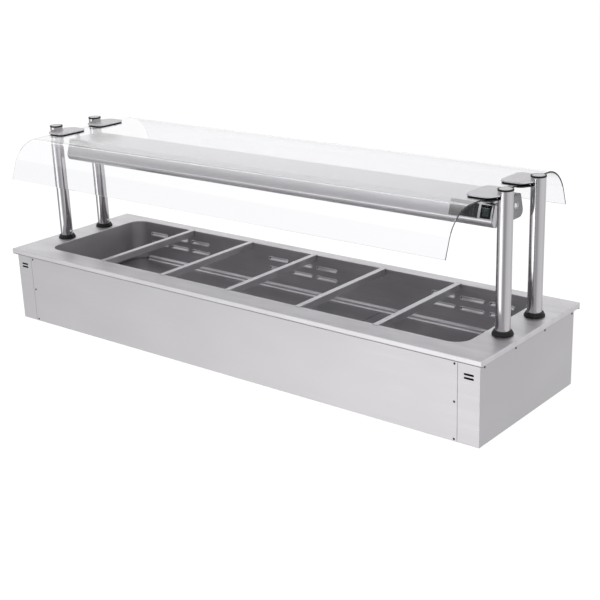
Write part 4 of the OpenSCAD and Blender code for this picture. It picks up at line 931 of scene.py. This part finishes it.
# %% [markdown]
# The object stands on white paper that keeps a faint shadow of the casing. Paper lit by lamps alone would end
# in a grey horizon, so the camera sees mostly the paper's own white, which meets the surround without a seam.
# A mirrored ray passes through it and finds the room's low walls in its place.

# %% Floor
OWN_LOOK, OWN_WHITE, FLOOR_HALF, FLOOR_DROP = 0.88, 1.06, 30, 0.0005
floor_finish = bpy.data.materials.new("pale_studio_floor")
floor_finish.use_nodes = True
tree = floor_finish.node_tree
tree.nodes.clear()
rays = add_node(tree, "LightPath").outputs
seen = add_node(tree, "Math", {0: rays["Is Camera Ray"], 1: rays["Is Transmission Ray"]}, operation="MAXIMUM")
keep = add_node(tree, "Math", {0: seen.outputs[0], 1: OWN_LOOK}, operation="MULTIPLY")
mirrored = add_node(tree, "Math", {0: rays["Glossy Depth"], 1: 0.5}, operation="GREATER_THAN")
paper = add_node(tree, "BsdfDiffuse", {"Color": linear("#F4F4F4")})
white = add_node(tree, "Emission", {"Color": linear("#FFFFFF"), "Strength": OWN_WHITE})
open_floor = add_node(tree, "BsdfTransparent")
mix = add_node(tree, "MixShader", {0: keep.outputs[0], 1: paper.outputs[0], 2: white.outputs[0]})
mix = add_node(tree, "MixShader", {0: mirrored.outputs[0], 1: mix.outputs[0], 2: open_floor.outputs[0]})
add_node(tree, "OutputMaterial", {"Surface": mix.outputs[0]})

mesh = bmesh.new()
bmesh.ops.create_grid(mesh, x_segments=1, y_segments=1, size=FLOOR_HALF)
floor_data = bpy.data.meshes.new("floor")
mesh.to_mesh(floor_data)
mesh.free()
floor_data.materials.append(floor_finish)
floor = bpy.data.objects.new("floor", floor_data)
floor.location.z = -FLOOR_DROP
scene.collection.objects.link(floor)
print("floor:", 2 * FLOOR_HALF, "m across")


# %% [markdown]
# Three wide square lamps, a key, a fill and one behind, give the plastics and the floor their soft shading.
# Steel and glass would mirror a lamp as a hard-edged white patch, so neither a mirrored ray nor one through
# glass meets the lamps.

# %% Lamps
def softbox(name, place, aim, size, power):
    """A square lamp at a place, pointed at another."""
    data = bpy.data.lights.new(name, "AREA")
    data.shape = "SQUARE"
    data.size = size
    data.energy = power
    made = bpy.data.objects.new(name, data)
    made.location = place
    made.rotation_euler = (Vector(aim) - Vector(place)).to_track_quat("-Z", "Y").to_euler()
    made.visible_glossy = False
    made.visible_transmission = False
    scene.collection.objects.link(made)
    return made


softbox("key", place=(1.2, -3.6, 3.4), aim=(0, 0, 0.2), size=2.6, power=120)
softbox("fill", place=(-3.6, -1.8, 2.6), aim=(0, 0, 0.2), size=2.4, power=60)
softbox("back", place=(0.6, 3.4, 3.0), aim=(0, 0, 0.4), size=2.4, power=60)
print("lamps:", len(bpy.data.lights))
